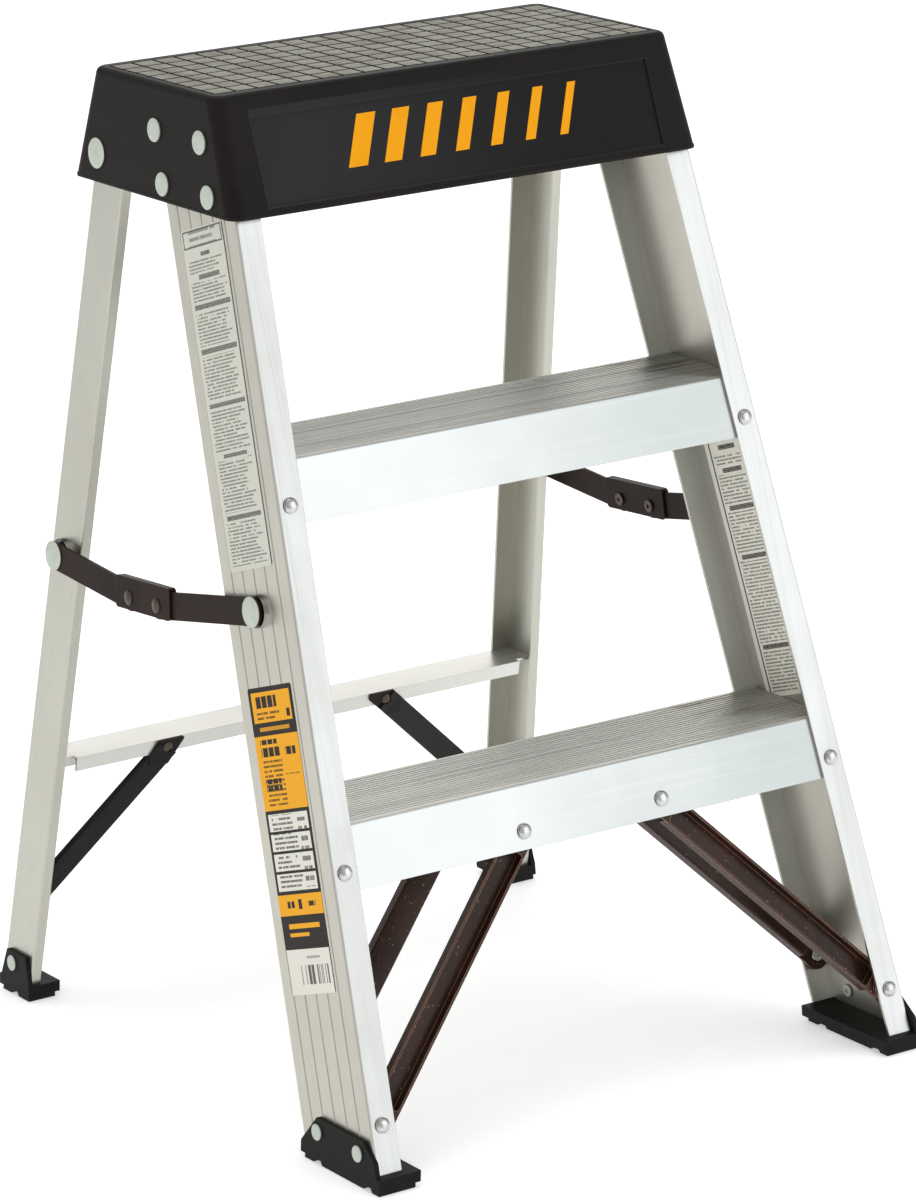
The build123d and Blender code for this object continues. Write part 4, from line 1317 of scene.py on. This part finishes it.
@dataclass
class Labels:
    """Thin printed labels on the front rails' webs."""

    notice_place: LabelPlace = LabelPlace(Side.LEFT, True, (15.5, 64.0), (329.9, 517.7))
    size_place: LabelPlace = LabelPlace(Side.LEFT, True, (15.3, 65.2), (98.0, 266.3))
    inner_place: LabelPlace = LabelPlace(Side.RIGHT, False, (13.5, 62.0), (199.0, 352.0))
    thickness: float = 0.12 * MM
    lift: float = 0.02 * MM
    rail_wall: float = 1.8 * MM
    corner: float = 1.5 * MM

    def build(self) -> None:
        """Make the three labels."""
        notice = NoticePaper(
            "notice_paper",
            98.0,
            (
                Block(0.40, 0.62, 0.072, 0.084),
                Block(0.28, 0.78, 0.136, 0.150),
                Block(0.08, 0.94, 0.220, 0.235),
                Block(0.08, 0.94, 0.350, 0.365),
                Block(0.08, 0.94, 0.510, 0.523),
                Block(0.24, 0.80, 0.660, 0.672),
                Block(0.10, 0.92, 0.838, 0.852),
            ),
            frame_block=Block(0.03, 0.96, 0.004, 0.056),
        )
        self.label("notice_label", self.notice_place, notice.material())
        self.label("size_label", self.size_place, SizePaper().material())
        inner = NoticePaper(
            "inner_notice_paper",
            74.0,
            (
                Block(0.30, 0.68, 0.030, 0.048),
                Block(0.28, 0.72, 0.118, 0.136),
                Block(0.22, 0.78, 0.262, 0.280),
                Block(0.22, 0.80, 0.452, 0.470),
                Block(0.18, 0.80, 0.800, 0.818),
            ),
            paper=(0.94, 0.92, 0.81),
            ink=(0.075, 0.07, 0.065),
            heading=(0.03, 0.025, 0.02),
            edge=(0.035, 0.035, 0.12),
            edge_from=0.085,
            edge_to=0.112,
            text_left=0.15,
        )
        self.label("inner_notice_label", self.inner_place, inner.material())

    def label(self, name: str, spot: LabelPlace, finish: bpy.types.Material) -> None:
        """Make one label, square to its rail.

        Args:
            name: The label's name.
            spot: Where it is.
            finish: Its material.
        """
        sign = spot.side.value
        front, back = spot.offsets
        bottom, top = spot.heights
        middle_z = (bottom + top) / 2 * MM
        middle_y = FRONT_RAILS.front(middle_z) + (front + back) / 2 * MM
        out = Vector((float(sign), 0.0, FRONT_RAILS.flare))
        web = sign * FRONT_RAILS.web(middle_z)
        along = Vector((-sign * FRONT_RAILS.flare, FRONT_RAILS.lean, 1.0))
        origin = Vector((web, middle_y, middle_z))
        if not spot.outside:
            origin -= out.normalized() * self.rail_wall
            out = -out
        stretch = math.hypot(1.0, FRONT_RAILS.lean)
        wide = (back - front) * MM / stretch
        long = (top - bottom) * MM * stretch
        place = frame_at(origin + out.normalized() * self.lift, out, along)
        bm = bmesh.new()
        uv = bm.loops.layers.uv.new("label")
        bmesh.ops.create_grid(bm, x_segments=1, y_segments=1, size=0.5, calc_uvs=True)
        bmesh.ops.scale(bm, vec=(wide, long, 1.0), verts=bm.verts)
        corners = bm.verts[:]
        bmesh.ops.bevel(
            bm, geom=corners, offset=self.corner, segments=4, profile=0.5, affect="VERTICES", material=-1
        )
        grown = bmesh.ops.extrude_face_region(bm, geom=bm.faces[:])["geom"]
        raised = [v for v in grown if isinstance(v, bmesh.types.BMVert)]
        bmesh.ops.translate(bm, vec=(0, 0, self.thickness), verts=raised)
        to_front = -1.0 if (place.to_3x3() @ Vector((1, 0, 0))).y > 0 else 1.0
        for face in bm.faces:
            for loop in face.loops:
                across = to_front * loop.vert.co.x / wide + 0.5
                loop[uv].uv = (across, loop.vert.co.y / long + 0.5)
        bmesh.ops.transform(bm, matrix=place, verts=bm.verts)
        mounted(piece(name, bm, finish, smooth=False), "front_frame")


@dataclass
class Trimmings:
    """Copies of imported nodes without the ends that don't show."""

    finishes: Finishes
    strut_width: float = 15.0 * MM
    margin: float = 0.05 * MM
    rail_wall: float = 1.8 * MM

    def build(self) -> None:
        """Make the copies."""
        for side in Side:
            self.rear_brace(side)
            self.front_pin(side)

    def rear_brace(self, side: Side) -> None:
        """A rear brace as wide at its top as along its length.

        Args:
            side: Which brace.
        """
        middles = [middle_of(points) for points in solids("rear_brace_rivets")]
        mine = [m for m in middles if m.x * side.value > 0]
        head = max(mine, key=lambda m: m.z)
        foot = min(mine, key=lambda m: m.z)
        low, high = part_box(f"{side.word}_rear_rail")
        lean = (low.y - high.y + REAR_RAIL_DEPTH) / (high.z - low.z)
        face = Vector((0.0, 1.0, -lean)).normalized()
        sideways = (foot - head).cross(face).normalized()
        reach = self.strut_width / 2 + self.margin
        cuts = [(head + sideways * reach, sideways), (head - sideways * reach, -sideways)]
        node = f"{side.word}_rear_brace"
        made = piece(f"{node}_strut", trimmed(node, cuts), self.finishes.rear_brace)
        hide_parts(node)
        mounted(made, "rear_frame")

    def front_pin(self, side: Side) -> None:
        """A spreader's front pin cut level with the rail's inner face.

        Args:
            side: Which pin.
        """
        node = f"{side.word}_spreader_front_pin"
        low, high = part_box(node)
        middle = (low + high) / 2
        outward = Vector((float(side.value), 0.0, FRONT_RAILS.flare)).normalized()
        web = Vector((side.value * FRONT_RAILS.web(middle.z), middle.y, middle.z))
        cut = web - outward * (self.rail_wall - self.margin)
        made = piece(f"{node}_flush", trimmed(node, [(cut, -outward)]), self.finishes.pale)
        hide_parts(node)
        mounted(made, "front_frame")


@dataclass
class RivetHeads:
    """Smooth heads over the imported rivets' plain ones."""

    finishes: Finishes
    steps: int = 28
    crown: float = 2.45 * MM
    shoulder: float = 0.75 * MM
    dome_share: float = 0.93
    dome_points: int = 6
    skirt_reach: float = 0.15 * MM
    skirt_lip: float = 0.05 * MM
    skirt_height: float = 0.6 * MM
    disc_height: float = 1.3 * MM
    disc_reach: float = 0.1 * MM

    def build(self) -> None:
        """Make the heads of every rivet group."""
        front = Vector((0.0, -1.0, FRONT_RAILS.lean)).normalized()
        web = Vector((1.0, 0.0, FRONT_RAILS.flare)).normalized()
        for node in ("step_rivets", "brace_rivets"):
            self.group(node, "front_frame", lambda c: front if c.y < self.split_y(c) else -front, True)
        for node in ("cap_rivets", "front_foot_rivets"):
            self.group(node, "front_frame", lambda c: self.sideways(c, web), False)
        self.group("rear_foot_rivets", "rear_frame", lambda c: self.sideways(c, web), False)

    @staticmethod
    def split_y(centre: Vector) -> float:
        """The middle of the front rails' depth at a point's height."""
        return FRONT_RAILS.front(centre.z) + FRONT_RAILS.depth / 2

    @staticmethod
    def sideways(centre: Vector, web: Vector) -> Vector:
        """The outward direction of the web that a point is on."""
        return Vector((math.copysign(web.x, centre.x), 0.0, web.z))

    def group(self, node: str, body: str, facing: Callable[[Vector], Vector], domed: bool) -> None:
        """Make the heads of one packed rivet group.

        Args:
            node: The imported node.
            body: The body that it rides on.
            facing: Gives a rivet's outward direction from its middle.
            domed: Whether the heads are domes, or flat discs.
        """
        bm = bmesh.new()
        for points in solids(node):
            out = facing(middle_of(points))
            foot, radius = head_place(points, out)
            profile = self.dome(radius) if domed else self.disc(radius)
            spun(bm, profile, frame_at(foot, out, UPWARDS), self.steps)
        finish = self.finishes.bright if domed else self.finishes.pale
        mounted(piece(node.replace("rivets", "rivet_heads"), bm, finish), body)

    def dome(self, radius: float) -> list[tuple[float, float]]:
        """Profile of a domed head with a thin skirt.

        Args:
            radius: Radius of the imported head.

        Returns:
            Radius and height of each point, from the axis out and back.
        """
        skirt = radius + self.skirt_reach
        points = [(0.0, self.crown)]
        for index in range(1, self.dome_points + 1):
            turn = index / self.dome_points * math.pi / 2
            height = self.shoulder + (self.crown - self.shoulder) * math.cos(turn)
            points.append((radius * self.dome_share * math.sin(turn), height))
        points.append((skirt, self.skirt_height))
        points.append((skirt + self.skirt_lip, self.skirt_height / 2))
        points += [(skirt, 0.0), (0.0, 0.0)]
        return points

    def disc(self, radius: float) -> list[tuple[float, float]]:
        """Profile of a nearly flat head with a rounded rim.

        Args:
            radius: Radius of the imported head.

        Returns:
            Radius and height of each point, from the axis out and back.
        """
        rim = radius + self.disc_reach
        top = self.disc_height
        return [
            (0.0, top),
            (rim * 0.55, top - 0.04 * MM),
            (rim * 0.86, top - 0.16 * MM),
            (rim - 0.25 * MM, top - 0.42 * MM),
            (rim, top - 0.8 * MM),
            (rim, 0.0),
            (0.0, 0.0),
        ]


# ------------------------------------------------------------------ studio
@dataclass(frozen=True)
class Panel:
    """A square soft light, aimed at the middle of the ladder."""

    name: str
    place: tuple[float, float, float]
    size: float
    power: float
    colour: Colour


@dataclass
class Studio:
    """Floor, soft lights and camera."""

    panels: tuple[Panel, ...] = (
        Panel("front_panel", (1.9, -2.7, 1.3), 2.4, 20.0, (0.95, 0.985, 1.0)),
        Panel("left_panel", (-3.0, 0.2, 1.4), 1.8, 3.0, (1.0, 0.95, 0.86)),
        Panel("top_panel", (0.0, 0.4, 3.4), 2.4, 34.0, (1.0, 1.0, 1.0)),
        Panel("back_panel", (2.2, 3.3, 1.5), 2.0, 11.0, (1.0, 0.99, 0.95)),
    )
    aim: tuple[float, float, float] = (0.0, 0.0, 0.3)
    camera_place: tuple[float, float, float] = (-1.7599, -2.65695, 1.1772)
    azimuth: float = math.radians(-33.783)
    elevation: float = math.radians(16.151)
    roll: float = math.radians(-1.452)
    lens: float = 166.15
    shift: tuple[float, float] = (-0.00431, 0.01478)
    sensor_height: float = 36.0
    glow: float = 0.42
    air: float = 0.6
    floor_reach: float = 14.0
    floor_drop: float = 0.05 * MM

    def build(self) -> None:
        """Set up the studio."""
        self.floor()
        self.world()
        self.lights()
        self.camera()
        settings = bpy.context.scene.view_settings
        settings.view_transform = "Standard"
        settings.look = "None"

    def floor(self) -> None:
        """A wide pale floor."""
        shader = Shader("studio_floor")
        where = shader.join(*shader.place())
        colour = shader.mix(shader.noise(where, 3.0) * 0.3, (0.93, 0.93, 0.93), (0.91, 0.91, 0.915))
        finish = shader.surface(
            Base_Color=colour, Roughness=0.9, Emission_Color=(1.0, 1.0, 0.995), Emission_Strength=self.glow
        )
        bm = bmesh.new()
        bmesh.ops.create_grid(bm, x_segments=1, y_segments=1, size=self.floor_reach)
        bmesh.ops.translate(bm, vec=(0, 0, -self.floor_drop), verts=bm.verts)
        piece("studio_floor", bm, finish, smooth=False)

    def world(self) -> None:
        """Plain soft surroundings."""
        world = bpy.data.worlds.new("studio_air")
        bpy.context.scene.world = world
        world.use_nodes = True
        air = world.node_tree.nodes["Background"]
        air.inputs["Color"].default_value = (1.0, 1.0, 1.0, 1.0)
        air.inputs["Strength"].default_value = self.air

    def lights(self) -> None:
        """Large soft panels: front right, left, above and behind."""
        for panel in self.panels:
            light = bpy.data.lights.new(panel.name, "AREA")
            light.shape = "SQUARE"
            light.size = panel.size
            light.energy = panel.power
            light.color = panel.colour
            lamp = bpy.data.objects.new(panel.name, light)
            lamp.location = panel.place
            line = Vector(self.aim) - Vector(panel.place)
            lamp.rotation_euler = line.to_track_quat("-Z", "Y").to_euler()
            bpy.context.scene.collection.objects.link(lamp)

    def camera(self) -> None:
        """The camera that the ladder is seen from."""
        turn, rise = self.azimuth, self.elevation
        back = Vector((math.sin(turn) * math.cos(rise), -math.cos(turn) * math.cos(rise), math.sin(rise)))
        right = Vector((math.cos(turn), math.sin(turn), 0.0))
        up = back.cross(right)
        rolled_right = right * math.cos(self.roll) + up * math.sin(self.roll)
        rolled_up = up * math.cos(self.roll) - right * math.sin(self.roll)
        data = bpy.data.cameras.new("camera")
        data.sensor_fit = "VERTICAL"
        data.sensor_height = self.sensor_height
        data.lens = self.lens
        data.shift_x, data.shift_y = self.shift
        data.clip_end = 100.0
        made = bpy.data.objects.new("camera", data)
        turned = Matrix((rolled_right, rolled_up, back)).transposed().to_4x4()
        made.matrix_world = Matrix.Translation(Vector(self.camera_place)) @ turned
        bpy.context.scene.collection.objects.link(made)
        bpy.context.scene.camera = made


def main() -> None:
    """Build the ladder's looks in order."""
    logging.basicConfig(level=logging.INFO, format="%(message)s")
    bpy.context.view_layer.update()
    finishes = Finishes()
    PackedParts(finishes).dress()
    TopCap(finishes).build()
    Labels().build()
    RivetHeads(finishes).build()
    Trimmings(finishes).build()
    Studio().build()


if __name__ == "__main__":
    main()
